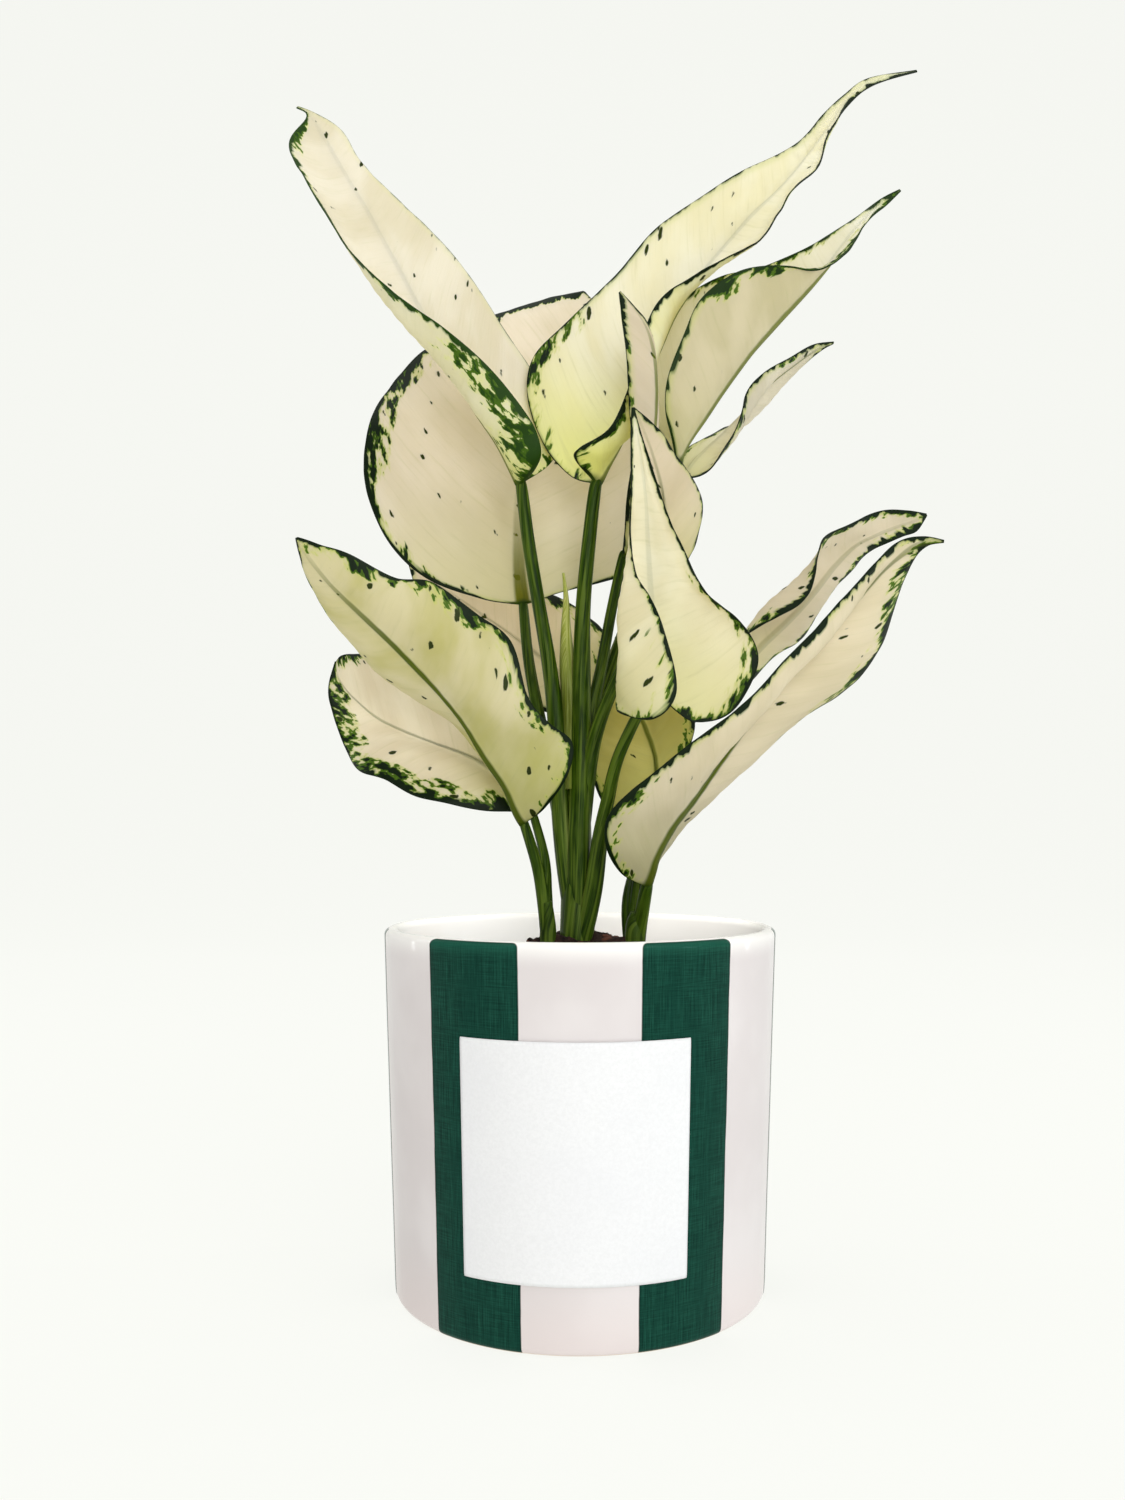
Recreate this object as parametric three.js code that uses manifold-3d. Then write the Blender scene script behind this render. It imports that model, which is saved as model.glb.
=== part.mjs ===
// A potted chinese evergreen with cream leaves edged in dark green, in a glazed cachepot.
// Millimetres, +Z up. The origin is the centre of the pot's flat bottom, and the front of
// the plant, with the label, faces -Y.

import * as THREE from 'three';
import { mergeVertices } from 'three/addons/utils/BufferGeometryUtils.js';
import Module from 'manifold-3d';

// Ceramic pot
const POT_HEIGHT = 129;
const POT_RIM_RADIUS = 70;
const POT_BASE_RADIUS = 66;
const POT_WALL = 5;
const POT_FLOOR = 6;
const POT_FOOT_ROUND = 2.5;
const POT_INNER_FILLET = 5;
const POT_RIM_STEPS = 6;
const POT_SIDES = 48;

// Paper label on the front of the pot
const LABEL_LEFT = -33;
const LABEL_RIGHT = 30;
const LABEL_BOTTOM = 22.5;
const LABEL_TOP = 98.5;
const LABEL_THICKNESS = 0.6;
const LABEL_STEPS = 14;
const LABEL_CORNERS = 4;

// Plastic grow pot that stands inside the ceramic one
const GROW_TOP = 112;
const GROW_RIM_RADIUS = 60;
const GROW_TOP_RADIUS = 57.5;
const GROW_BASE_RADIUS = 44;
const GROW_WALL = 1.4;
const GROW_LIP_DROP = 7;
const GROW_FOOT_BEVEL = 2;
const GROW_SIDES = 40;
const DRAIN_HOLES = 6;
const DRAIN_RADIUS = 4;
const DRAIN_CIRCLE = 30;
const DRAIN_SIDES = 10;

// Soil, with the shares of its radius where the mound has a ring, and the canes' holes
const SOIL_EDGE = 107;
const SOIL_CROWN = 124.3;
const SOIL_RINGS = [0.85, 0.65, 0.45];
const SOIL_FLAT_TOP = 0.2;
const SOIL_FOOT_BEVEL = 1;
const STEM_DEPTH = 26;
const HOLE_SIDES = 16;

// Clearance between pieces that touch, before a stalk's or hole's facets take their share
const GAP = 0.3;
const STALK_GAP = 0.9;
const HOLE_CLEARANCE = 0.6;

// Blades: their thickness, the midrib's extra depth at the stalk and how it thins, the
// half width at the stalk and at the tip, and the grid's steps along and across a half
const BLADE = 0.7;
const RIB = 1.5;
const RIB_TAPER = 0.7;
const STALK_HALF = 1.6;
const TIP_HALF = 0.5;
const STATIONS = 15;
const HALF_STEPS = 4;

// Stalks and canes
const STALK_SIDES = 8;
const STALK_STRAIGHT = [8, 4, STALK_GAP];
const CANE_SIDES = 12;
const CANE_TOP_TAPER = 0.7;
const CANE_ABOVE_SOIL = 4;
const CANE_BELOW_SOIL = 8;

// The eye that the leaves' places were judged from, in front of the pot and a little
// above its rim.
const EYE_DISTANCE = 461;
const EYE_HEIGHT = 166;

const wasm = await Module();
wasm.setup();

// Places

// A point that the eye sees at (u, v) on the upright plane through the pot's axis, and
// that lies `depth` in front of that plane.
function seen([u, v, depth]) {
  const scale = (EYE_DISTANCE - depth) / EYE_DISTANCE;
  return new THREE.Vector3(u * scale, -depth, EYE_HEIGHT + (v - EYE_HEIGHT) * scale);
}

// A smooth value between the entries of a list, at t from 0 to 1.
function blend(values, t) {
  const last = values.length - 1;
  const place = Math.min(t * last, last - 1e-9);
  const k = Math.floor(place);
  const f = place - k;
  const [a, b, c, d] = [-1, 0, 1, 2].map((step) => values[Math.max(0, Math.min(last, k + step))]);
  return 0.5 * (2 * b + (c - a) * f + (2 * a - 5 * b + 4 * c - d) * f * f
    + (3 * b - a - 3 * c + d) * f * f * f);
}

function blendPoint(points, t) {
  return new THREE.Vector3(...['x', 'y', 'z'].map((axis) => blend(points.map((p) => p[axis]), t)));
}

// Solids

function toManifold(geometry) {
  const bare = geometry.clone();
  bare.deleteAttribute('normal');
  bare.deleteAttribute('uv');
  const merged = mergeVertices(bare, 1e-4);
  return new wasm.Manifold(new wasm.Mesh({
    numProp: 3,
    vertProperties: new Float32Array(merged.attributes.position.array),
    triVerts: new Uint32Array(merged.index.array),
  }));
}

function toGeometry(solid) {
  const mesh = solid.getMesh();
  const geometry = new THREE.BufferGeometry();
  geometry.setAttribute('position', new THREE.BufferAttribute(mesh.vertProperties, 3));
  geometry.setIndex(new THREE.BufferAttribute(mesh.triVerts, 1));
  geometry.computeVertexNormals();
  return geometry;
}

function gridGeometry(vertices, faces) {
  const geometry = new THREE.BufferGeometry();
  const places = vertices.flatMap((p) => p.toArray());
  geometry.setAttribute('position', new THREE.Float32BufferAttribute(places, 3));
  geometry.setIndex(faces.flat());
  geometry.computeVertexNormals();
  return geometry;
}

// A round stem along a smooth curve, as thick as the radii say from its start to its end.
function stem(points, radii, sides = STALK_SIDES) {
  const path = points.map((p) => (p.isVector3 ? p : seen(p)));
  const steps = (path.length - 1) * 2;
  const centres = Array.from({ length: steps + 1 }, (_, i) => blendPoint(path, i / steps));
  const vertices = [];
  const faces = [];
  let side = new THREE.Vector3(1, 0, 0);
  centres.forEach((centre, i) => {
    const ahead = centres[Math.min(steps, i + 1)].clone().sub(centres[Math.max(0, i - 1)]).normalize();
    side = side.clone().addScaledVector(ahead, -side.dot(ahead)).normalize();
    const other = new THREE.Vector3().crossVectors(ahead, side);
    const radius = blend(radii, i / steps);
    for (let j = 0; j < sides; j += 1) {
      const angle = (2 * Math.PI * j) / sides;
      vertices.push(centre.clone()
        .addScaledVector(side, radius * Math.cos(angle))
        .addScaledVector(other, radius * Math.sin(angle)));
    }
  });
  for (let i = 0; i < steps; i += 1) {
    for (let j = 0; j < sides; j += 1) {
      const a = i * sides + j;
      const b = i * sides + ((j + 1) % sides);
      faces.push([a, b, b + sides], [a, b + sides, a + sides]);
    }
  }
  for (let j = 1; j < sides - 1; j += 1) {
    const top = steps * sides;
    faces.push([0, j + 1, j], [top, top + j, top + j + 1]);
  }
  return gridGeometry(vertices, faces);
}

// Leaves
//
// Each leaf has rows from its stalk to its tip: the midrib, the left and the right margin,
// as seen points, and how far each half bows out to the underside. Left and right are
// those of a leaf whose upper face looks up, seen from its stalk. The first and last row
// are single points: the stalk's end and the tip.

const LEAVES = {
  leaf_upper_left: {
    ripple: [1.0, 3, 0.4],
    rows: [
      [-21.5, 288, 4],
      [[-25, 295, 6], [-14.5, 297, 17], [-9.5, 297, -6], 5, 1],
      [[-31, 306, 7], [-15.5, 307, 21], [-8.5, 309, -12], 7, 2],
      [[-39, 318, 8], [-20, 315, 24], [-13.5, 322, -16], 8, 3],
      [[-48, 333, 8], [-33, 329.5, 26], [-24, 340, -18], 9, 3],
      [[-57, 350, 6], [-50, 344.5, 27], [-36, 358, -18], 9, 3],
      [[-67, 369, 4], [-68, 359, 25], [-49, 373, -16], 8, 3],
      [[-78, 389, 1], [-86, 376.5, 18], [-64, 389, -13], 5, 2],
      [[-88, 406, -1], [-99, 397, 9], [-78.5, 404.5, -10], 3, 1],
      [[-93.5, 415, -2], [-105, 411, 2], [-86, 415.5, -7], 1, 0.5],
      [[-97, 420, -3], [-101, 418.5, -1], [-92.5, 420.5, -5], 0, 0],
      [-102, 424, -4],
    ],
  },
  leaf_upper_right: {
    ripple: [1.2, 3.5, 1.0],
    rows: [
      [6, 288, 8],
      [[9, 294, 7], [-4, 291.5, 3], [-2, 297, 17], 1, 4],
      [[13, 301, 6], [-13, 302, -3], [0, 301, 22], 2, 6],
      [[17.5, 311, 4], [-19, 319, -8], [11, 308, 23], 4, 6],
      [[22, 322, 1], [-17, 333, -12], [16.5, 322, 19], 5, 5],
      [[28, 337, -2], [-5, 345.5, -16], [20.5, 338, 14], 5, 4],
      [[36, 353, -4], [12, 363, -19], [28.5, 353.5, 11], 5, 3],
      [[47, 368, -5], [27, 381, -20], [44, 363.5, 10], 5, 3],
      [[60, 383, -6], [46, 393, -19], [64, 375.5, 8], 4, 3],
      [[69, 392, -7], [58.5, 400, -18], [71, 386.5, 5], 4, 2],
      [[77, 400.5, -7.5], [68.5, 405.5, -16.5], [76, 393.7, 3], 3, 1],
      [[85, 410.5, -8], [79, 412.7, -14.5], [86, 402, 1], 2, 1],
      [[91, 418.5, -9], [87, 421, -13], [90, 415, -4], 1, 1],
      [[96.3, 426.3, -10], [95.4, 428, -12], [96.4, 424.7, -8.5], 0, 0],
      [[105, 433, -11], [104, 434.3, -11.5], [105.5, 431.8, -10], 0, 0],
      [121.5, 437, -12],
    ],
  },
  leaf_right_upper: {
    ripple: [1.0, 3, 2.2],
    rows: [
      [35, 296, -8],
      [[38, 303, -7], [28, 306, -16], [33, 305, 2], 1, 2],
      [[44, 312, -6], [25.5, 318, -22], [31, 315, 7], 2, 3],
      [[52, 323, -5], [26, 331, -25], [31.5, 327, 10], 3, 4],
      [[61, 335, -5], [30, 346, -26], [37, 342, 11], 4, 4],
      [[70, 345, -5], [39, 357, -25], [44, 355, 11], 4, 3],
      [[78, 354, -6], [51, 363.5, -23], [57, 364.5, 9], 3, 3],
      [[85, 362, -7], [66, 366, -19], [70, 367, 6], 2, 2],
      [[92, 370, -9], [81, 372, -17], [85, 365.5, 0], 1, 1],
      [[98, 378, -11], [92, 379.5, -15], [97, 371.5, -5], 0, 0],
      [[105, 386, -13], [103, 387.2, -14], [103.8, 382.5, -11], 0, 0],
      [[110.5, 390.3, -14], [109.5, 391.5, -14], [111, 389, -13.5], 0, 0],
      [115.5, 394, -15],
    ],
  },
  leaf_right_small: {
    ripple: [0.8, 3, 0],
    rows: [
      [37, 290, -24],
      [[40, 295.5, -28], [38, 299.5, -40], [43.6, 291.4, -21], 1, 1],
      [[45.5, 301.5, -32], [44, 304.3, -48], [49, 295, -18], 2, 2],
      [[52, 307.5, -35], [51, 308, -55], [53.5, 303, -18], 3, 3],
      [[58, 313.5, -37], [58, 309.5, -57], [57.5, 313, -20], 3, 3],
      [[64, 320.5, -39], [64.5, 315.5, -56], [61, 321.5, -24], 3, 3],
      [[71, 327, -41], [72, 322.5, -53], [68, 329.5, -30], 2, 2],
      [[79, 333, -43], [80, 330, -50], [77, 335, -37], 1, 1],
      [[86, 337, -45], [86.5, 336, -47], [85, 338.5, -43], 0, 0],
      [91.5, 339, -47],
    ],
  },
  leaf_back_round: {
    ripple: [1.4, 4, 0.8],
    rows: [
      [-20.5, 244.5, -14],
      [[-21.3, 251, -16], [-8, 248.5, -14], [-36, 247, -12], 0, 0],
      [[-22, 261, -19], [8, 252.5, -15], [-56, 254.5, -12], 2, 2],
      [[-22.2, 273, -23], [19, 258, -20], [-69, 266.5, -14], 4, 4],
      [[-21.5, 287, -28], [27, 270, -26], [-77, 286, -18], 5, 5],
      [[-20, 301, -34], [30, 287, -34], [-77.5, 302, -24], 5, 5],
      [[-17, 315, -41], [29, 305, -42], [-72, 318.5, -32], 5, 5],
      [[-13, 328, -48], [25, 322, -50], [-58, 335, -42], 4, 4],
      [[-8, 339, -54], [19, 336, -57], [-38, 346, -52], 3, 3],
      [[-3, 349, -59], [11, 347, -62], [-16, 354, -59], 1, 1],
      [1.5, 357.5, -64],
    ],
  },
  leaf_lower_left_front: {
    ripple: [1.1, 4, 2.0],
    rows: [
      [-20.5, 166, 14],
      [[-23, 170.5, 16], [-12, 172, 23], [-20, 174, 6], 1, 2],
      [[-27, 179, 18], [-4.5, 183, 30], [-23, 187, -2], 3, 4],
      [[-33.5, 189, 20], [-3, 194.5, 33], [-30, 199, -8], 4, 5],
      [[-41, 201, 22], [-10.5, 202, 35], [-38.5, 205, -9], 5, 5],
      [[-49.5, 212.5, 25], [-19, 212, 36], [-50, 208, -6], 5, 5],
      [[-59, 222.5, 29], [-25, 231, 37], [-62, 213.7, 2], 5, 4],
      [[-70, 233, 33], [-37, 241.5, 40], [-75, 221, 10], 5, 4],
      [[-80.5, 243, 37], [-53, 252.5, 43], [-85, 233.5, 18], 4, 3],
      [[-89.5, 252, 41], [-67, 254, 45], [-93, 246, 27], 3, 2],
      [[-96, 259.5, 44], [-83, 263, 47], [-98.5, 253.5, 35], 1, 1],
      [[-100, 265, 46], [-94.5, 266.5, 48], [-101, 261.5, 42], 0, 0],
      [-102.3, 268.7, 48],
    ],
  },
  leaf_lower_left_back: {
    ripple: [1.2, 4, 0.3],
    rows: [
      [-17.8, 170.5, 0],
      [[-22, 175.5, -3], [-16, 183, -9], [-25, 170, 0], 1, 0],
      [[-30, 183, -8], [-21, 196, -18], [-35, 170.5, 0], 2, 2],
      [[-40, 189, -13], [-31, 206, -26], [-47, 172, 0], 3, 3],
      [[-52, 193.5, -18], [-43, 213, -32], [-58, 175.5, -1], 4, 4],
      [[-63, 198, -23], [-55, 219, -38], [-69, 180.5, -5], 4, 4],
      [[-72, 202.5, -28], [-66, 223, -42], [-79, 184, -12], 3, 3],
      [[-79, 208, -33], [-76, 226, -45], [-85, 194, -21], 2, 2],
      [[-84.5, 213.5, -37], [-82.5, 227, -45], [-89.5, 206, -30], 1, 1],
      [[-87.5, 219, -40], [-86, 226, -44], [-90.7, 215, -37], 0, 0],
      [-88, 224, -43],
    ],
  },
  leaf_back_low: {
    ripple: [1.2, 3, 1.5],
    rows: [
      [2.5, 208, -17],
      [[-0.5, 212, -21], [8, 221, -27], [-4, 206, -18], 1, 0],
      [[-6, 218, -28], [9.3, 233, -36], [-13, 206, -24], 2, 2],
      [[-14, 225, -35], [2, 241.5, -43], [-24, 211, -33], 3, 3],
      [[-23, 232, -42], [-10, 247.5, -49], [-35, 219, -42], 4, 4],
      [[-33, 239, -49], [-25, 252, -55], [-45, 228, -49], 3, 3],
      [[-43, 246, -56], [-38, 255.5, -60], [-53, 238, -56], 2, 2],
      [[-52, 252, -62], [-50, 259, -64], [-58, 247, -61], 1, 1],
      [-61.5, 259, -68],
    ],
  },
  leaf_centre_front: {
    ripple: [0.8, 3, 0.5],
    rows: [
      [24, 212, 24],
      [[24.8, 215.5, 25], [16.5, 211, 29], [31, 209.5, 25.5], 0, 1],
      [[25.3, 221, 27], [13.5, 206, 38], [41, 202.5, 25], 5, 3],
      [[25.8, 229, 29], [27, 203.2, 49], [53.5, 205, 24], 12, 5],
      [[26, 239, 31], [34.5, 213, 53], [62, 216.3, 23], 15, 5],
      [[25.5, 249, 32], [30, 234, 52], [64.5, 227, 22], 13, 5],
      [[25, 259, 33], [26, 247, 49], [58, 238, 23], 9, 5],
      [[24.5, 270, 34], [20.5, 257, 44], [45, 249.5, 25], 5, 4],
      [[24, 282, 35], [18, 271, 41], [37, 265.5, 28], 2, 3],
      [[22.8, 293, 37], [18.5, 285, 40], [30.5, 281, 32], 1, 2],
      [[21, 303, 39], [18.6, 297, 41], [25.5, 295.5, 36], 0, 1],
      [[19.8, 310, 40], [18.4, 307.5, 41], [21.7, 307.5, 39], 0, 0],
      [19, 315.7, 41],
    ],
  },
  leaf_centre_behind: {
    ripple: [0.7, 2.5, 0.5],
    rows: [
      [28, 243, 18],
      [[28.5, 248, 19], [33, 249, 17], [24.5, 250, 21], 0, 0],
      [[29.5, 256, 20.5], [38.5, 261, 15], [22, 260, 24], 1, 1],
      [[30, 266, 22], [43, 272, 15], [21, 271, 26], 2, 1],
      [[30, 276, 23.5], [44.6, 281, 16], [20.5, 282, 27], 2, 1],
      [[29, 286, 25], [41, 289, 19], [20, 292, 29], 2, 1],
      [[26.5, 296, 27], [34.8, 298, 22], [19.6, 301, 30], 1, 1],
      [[23.5, 305, 29], [29, 307.3, 26], [19.3, 308.5, 32], 0, 0],
      [19.2, 315.5, 33],
    ],
  },
  leaf_centre_tall: {
    ripple: [0.7, 3, 0.2],
    rows: [
      [15.5, 262, 4],
      [[17.5, 268, 6], [20, 270, 2], [16, 268.5, 10], 0, 0],
      [[20.5, 279, 9], [25, 282, 2], [17, 280, 15], 1, 1],
      [[23.5, 291, 13], [28, 294, 6], [18, 292, 19], 1, 2],
      [[25.5, 303, 17], [28.5, 306, 11], [18.4, 304, 22], 1, 2],
      [[26.7, 315, 20.5], [27, 317, 15], [18, 316, 25], 1, 2],
      [[27, 326, 23], [26, 327, 18], [17, 328, 27], 1, 2],
      [[26, 336, 24.5], [25.8, 336.5, 20], [16, 339, 28], 1, 1],
      [[22.5, 346, 26], [23.5, 347, 22.5], [15, 348.5, 29], 0, 1],
      [14.4, 357.5, 29],
    ],
  },
  leaf_lower_right_front: {
    ripple: [1.0, 4, 0.8],
    rows: [
      [24.3, 143.5, 15],
      [[25.8, 148, 17], [27, 152, 8], [14.5, 148, 25], 1, 1],
      [[27.5, 154.5, 19], [29.5, 161, 0], [9.7, 157, 32], 3, 3],
      [[32.5, 164, 20], [35, 169, -4], [10, 168, 37], 4, 4],
      [[39.5, 174, 21], [43, 175, -4], [17.5, 177.5, 41], 5, 5],
      [[47, 184.5, 23], [54, 184.5, 0], [30, 186.3, 45], 5, 5],
      [[55.5, 197, 25], [67, 194.3, 4], [43.5, 196, 48], 5, 5],
      [[65, 209.5, 27], [81, 203.5, 8], [57, 208, 49], 4, 5],
      [[76, 221.5, 28], [96, 213.5, 12], [70.5, 221.8, 49], 4, 4],
      [[88, 234.5, 29], [106.5, 227, 16], [84, 233.5, 47], 3, 4],
      [[99, 246.5, 30], [113.5, 243.5, 20], [95.5, 247.5, 43], 2, 3],
      [[109, 257.5, 31], [118.5, 255.5, 25], [105.5, 259.7, 38], 1, 1],
      [[119, 265, 32], [121.5, 262.5, 29], [115, 267.3, 35], 0, 0],
      [[125.5, 267.2, 32], [125.5, 265.8, 31.5], [124, 269.2, 33], 0, 0],
      [131.3, 267.4, 32],
    ],
  },
  leaf_right_back: {
    ripple: [1.2, 4, 2.4],
    rows: [
      [47, 213, -18],
      [[51.5, 216.5, -19], [54, 212, -22], [47.5, 222, -15], 0, 0],
      [[58, 222.5, -19], [62, 217, -24], [52, 230, -9], 1, 0],
      [[66, 230.5, -19], [71, 226.5, -28], [60, 234, -4], 2, -4],
      [[76, 240, -20], [80, 233.5, -30], [71, 239, 0], 2, -8],
      [[85, 250, -20], [87, 242.5, -31], [80, 247, 1], 2, -8],
      [[92, 259, -22], [93, 252.5, -31], [85.5, 257.5, -3], 2, -5],
      [[99, 266, -24], [100, 260, -30], [89, 269, -9], 1, -1],
      [[107, 270, -26], [108, 265, -29], [98, 274.7, -16], 0, 0],
      [[115, 273, -28], [116, 269, -29], [109, 278.3, -22], 0, 0],
      [[121, 275, -29], [121.5, 271, -29], [118, 278.6, -26], 0, 0],
      [125, 277, -30],
    ],
  },
  leaf_low_back: {
    ripple: [1.0, 3, 0.9],
    rows: [
      [25, 168, -3],
      [[26.5, 173, -5], [32, 174, -4], [18, 169, -7], 0, 0],
      [[28, 180.5, -8], [37.5, 184, -5], [9.5, 171.5, -12], 1, 1],
      [[27.5, 189.5, -12], [39.5, 193.5, -7], [5, 182, -17], 2, 2],
      [[24, 199.5, -16], [41.5, 202.5, -11], [4.5, 193, -21], 2, 2],
      [[20, 209, -19], [35.5, 211, -13], [6.3, 204, -25], 2, 2],
      [[16.5, 218.5, -25], [28, 220, -19], [9, 215, -29], 1, 1],
      [[14.3, 226, -29], [20.5, 228.5, -27], [11.5, 224.5, -31], 0, 0],
      [13, 233, -32],
    ],
  },
};

// The rows of a leaf as points in space, with short rows at the stalk's end and the tip. Each
// half of a short row is square to the midrib, or turned back where its lobe reaches back.
function leafRows({ rows }) {
  const inner = rows.slice(1, -1).map(([mid, left, right, bowLeft, bowRight]) => ({
    mid: seen(mid), left: seen(left), right: seen(right), bowLeft, bowRight,
  }));
  const end = (point, next, half) => {
    const mid = seen(point);
    const ahead = next.mid.clone().sub(mid).normalize();
    const side = (margin) => {
      const out = margin.clone().sub(mid);
      out.addScaledVector(ahead, -Math.abs(out.dot(ahead))).setLength(half);
      return out.add(mid);
    };
    return {
      mid, left: side(next.left), right: side(next.right), bowLeft: 0, bowRight: 0,
    };
  };
  const first = end(rows[0], inner[0], STALK_HALF);
  const last = end(rows.at(-1), inner.at(-1), TIP_HALF);
  return [first, ...inner, last];
}

// The middle surface of a blade: a grid of points, STATIONS + 1 along by 2 * HALF_STEPS + 1
// across, from the left margin to the right one.
function leafSurface(leaf) {
  const rows = leafRows(leaf);
  const [height, waves, phase] = leaf.ripple;
  const column = (name) => rows.map((row) => row[name]);
  const midAt = (t) => blendPoint(column('mid'), t);
  const grid = [];
  for (let i = 0; i <= STATIONS; i += 1) {
    const t = i / STATIONS;
    const mid = midAt(t);
    const ahead = midAt(Math.min(1, t + 0.02)).sub(midAt(Math.max(0, t - 0.02))).normalize();
    const wave = height * Math.sin(Math.PI * t) * Math.sin(2 * Math.PI * waves * t + phase);
    const half = (edgeName, bowName, sign) => {
      const chord = blendPoint(column(edgeName), t).sub(mid);
      const bow = blend(column(bowName), t);
      const up = new THREE.Vector3().crossVectors(ahead, chord).normalize().multiplyScalar(sign);
      return (f) => mid.clone()
        .addScaledVector(chord, f)
        .addScaledVector(up, sign * wave * f * f - bow * 4 * f * (1 - f));
    };
    const left = half('left', 'bowLeft', 1);
    const right = half('right', 'bowRight', -1);
    const shares = Array.from({ length: HALF_STEPS }, (_, j) => (j + 1) / HALF_STEPS);
    grid.push([...shares.map(left).reverse(), mid, ...shares.map(right)]);
  }
  return grid;
}

// The corners of each small triangle of a grid, alike on the upper and the lower face.
function gridTriangles(lines, columns) {
  const faces = [];
  for (let i = 0; i < lines - 1; i += 1) {
    for (let j = 0; j < columns - 1; j += 1) {
      const a = i * columns + j;
      const b = a + 1;
      const c = a + columns;
      const d = c + 1;
      const onLeft = j < (columns - 1) / 2;
      faces.push(...(onLeft ? [[a, b, c], [b, d, c]] : [[a, b, d], [a, d, c]]));
    }
  }
  return faces;
}

// The points once around the edge of a grid.
function gridRim(lines, columns) {
  const count = (length, from, step) => Array.from({ length }, (_, k) => from + k * step);
  const last = lines * columns - 1;
  return [
    ...count(columns - 1, 0, 1),
    ...count(lines - 1, columns - 1, columns),
    ...count(columns - 1, last, -1),
    ...count(lines - 1, last - columns + 1, -columns),
  ];
}

// A thin closed blade round the middle surface, with the midrib standing out on its underside.
// The close points of each end row share one normal, square to the midrib, so none cross.
function leafBlade(leaf) {
  const grid = leafSurface(leaf);
  const lines = grid.length;
  const columns = grid[0].length;
  const middle = (columns - 1) / 2;
  const points = grid.flat();
  const faces = gridTriangles(lines, columns);
  const normals = points.map(() => new THREE.Vector3());
  faces.forEach((corners) => {
    const [a, b, c] = corners.map((k) => points[k]);
    const normal = new THREE.Vector3().crossVectors(b.clone().sub(a), c.clone().sub(a));
    corners.forEach((k) => normals[k].add(normal));
  });
  normals.forEach((normal) => normal.normalize());
  [[0, 1], [lines - 1, lines - 2]].forEach(([end, next]) => {
    const inward = grid[next][middle].clone().sub(grid[end][middle]).normalize();
    const row = normals.slice(end * columns, (end + 1) * columns);
    const shared = row.reduce((sum, normal) => sum.add(normal), new THREE.Vector3());
    shared.projectOnPlane(inward).normalize();
    row.forEach((normal) => normal.copy(shared));
  });
  const upper = points.map((p, k) => p.clone().addScaledVector(normals[k], BLADE / 2));
  const lower = points.map((p, k) => {
    const along = Math.floor(k / columns) / (lines - 1);
    const onRib = k % columns === middle;
    const rib = onRib ? RIB * (1 - along) ** RIB_TAPER : 0;
    return p.clone().addScaledVector(normals[k], -BLADE / 2 - rib);
  });
  const count = points.length;
  const underside = faces.map(([a, b, c]) => [a + count, c + count, b + count]);
  const shell = [...faces, ...underside];
  const rim = gridRim(lines, columns);
  rim.forEach((a, k) => {
    const b = rim[(k + 1) % rim.length];
    shell.push([a + count, b + count, b], [a + count, b, a]);
  });
  return gridGeometry([...upper, ...lower], shell);
}

// Leaf stalks
//
// Each runs from inside the cane that carries it to the foot of its blade, where it turns
// into the blade's own direction.

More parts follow.
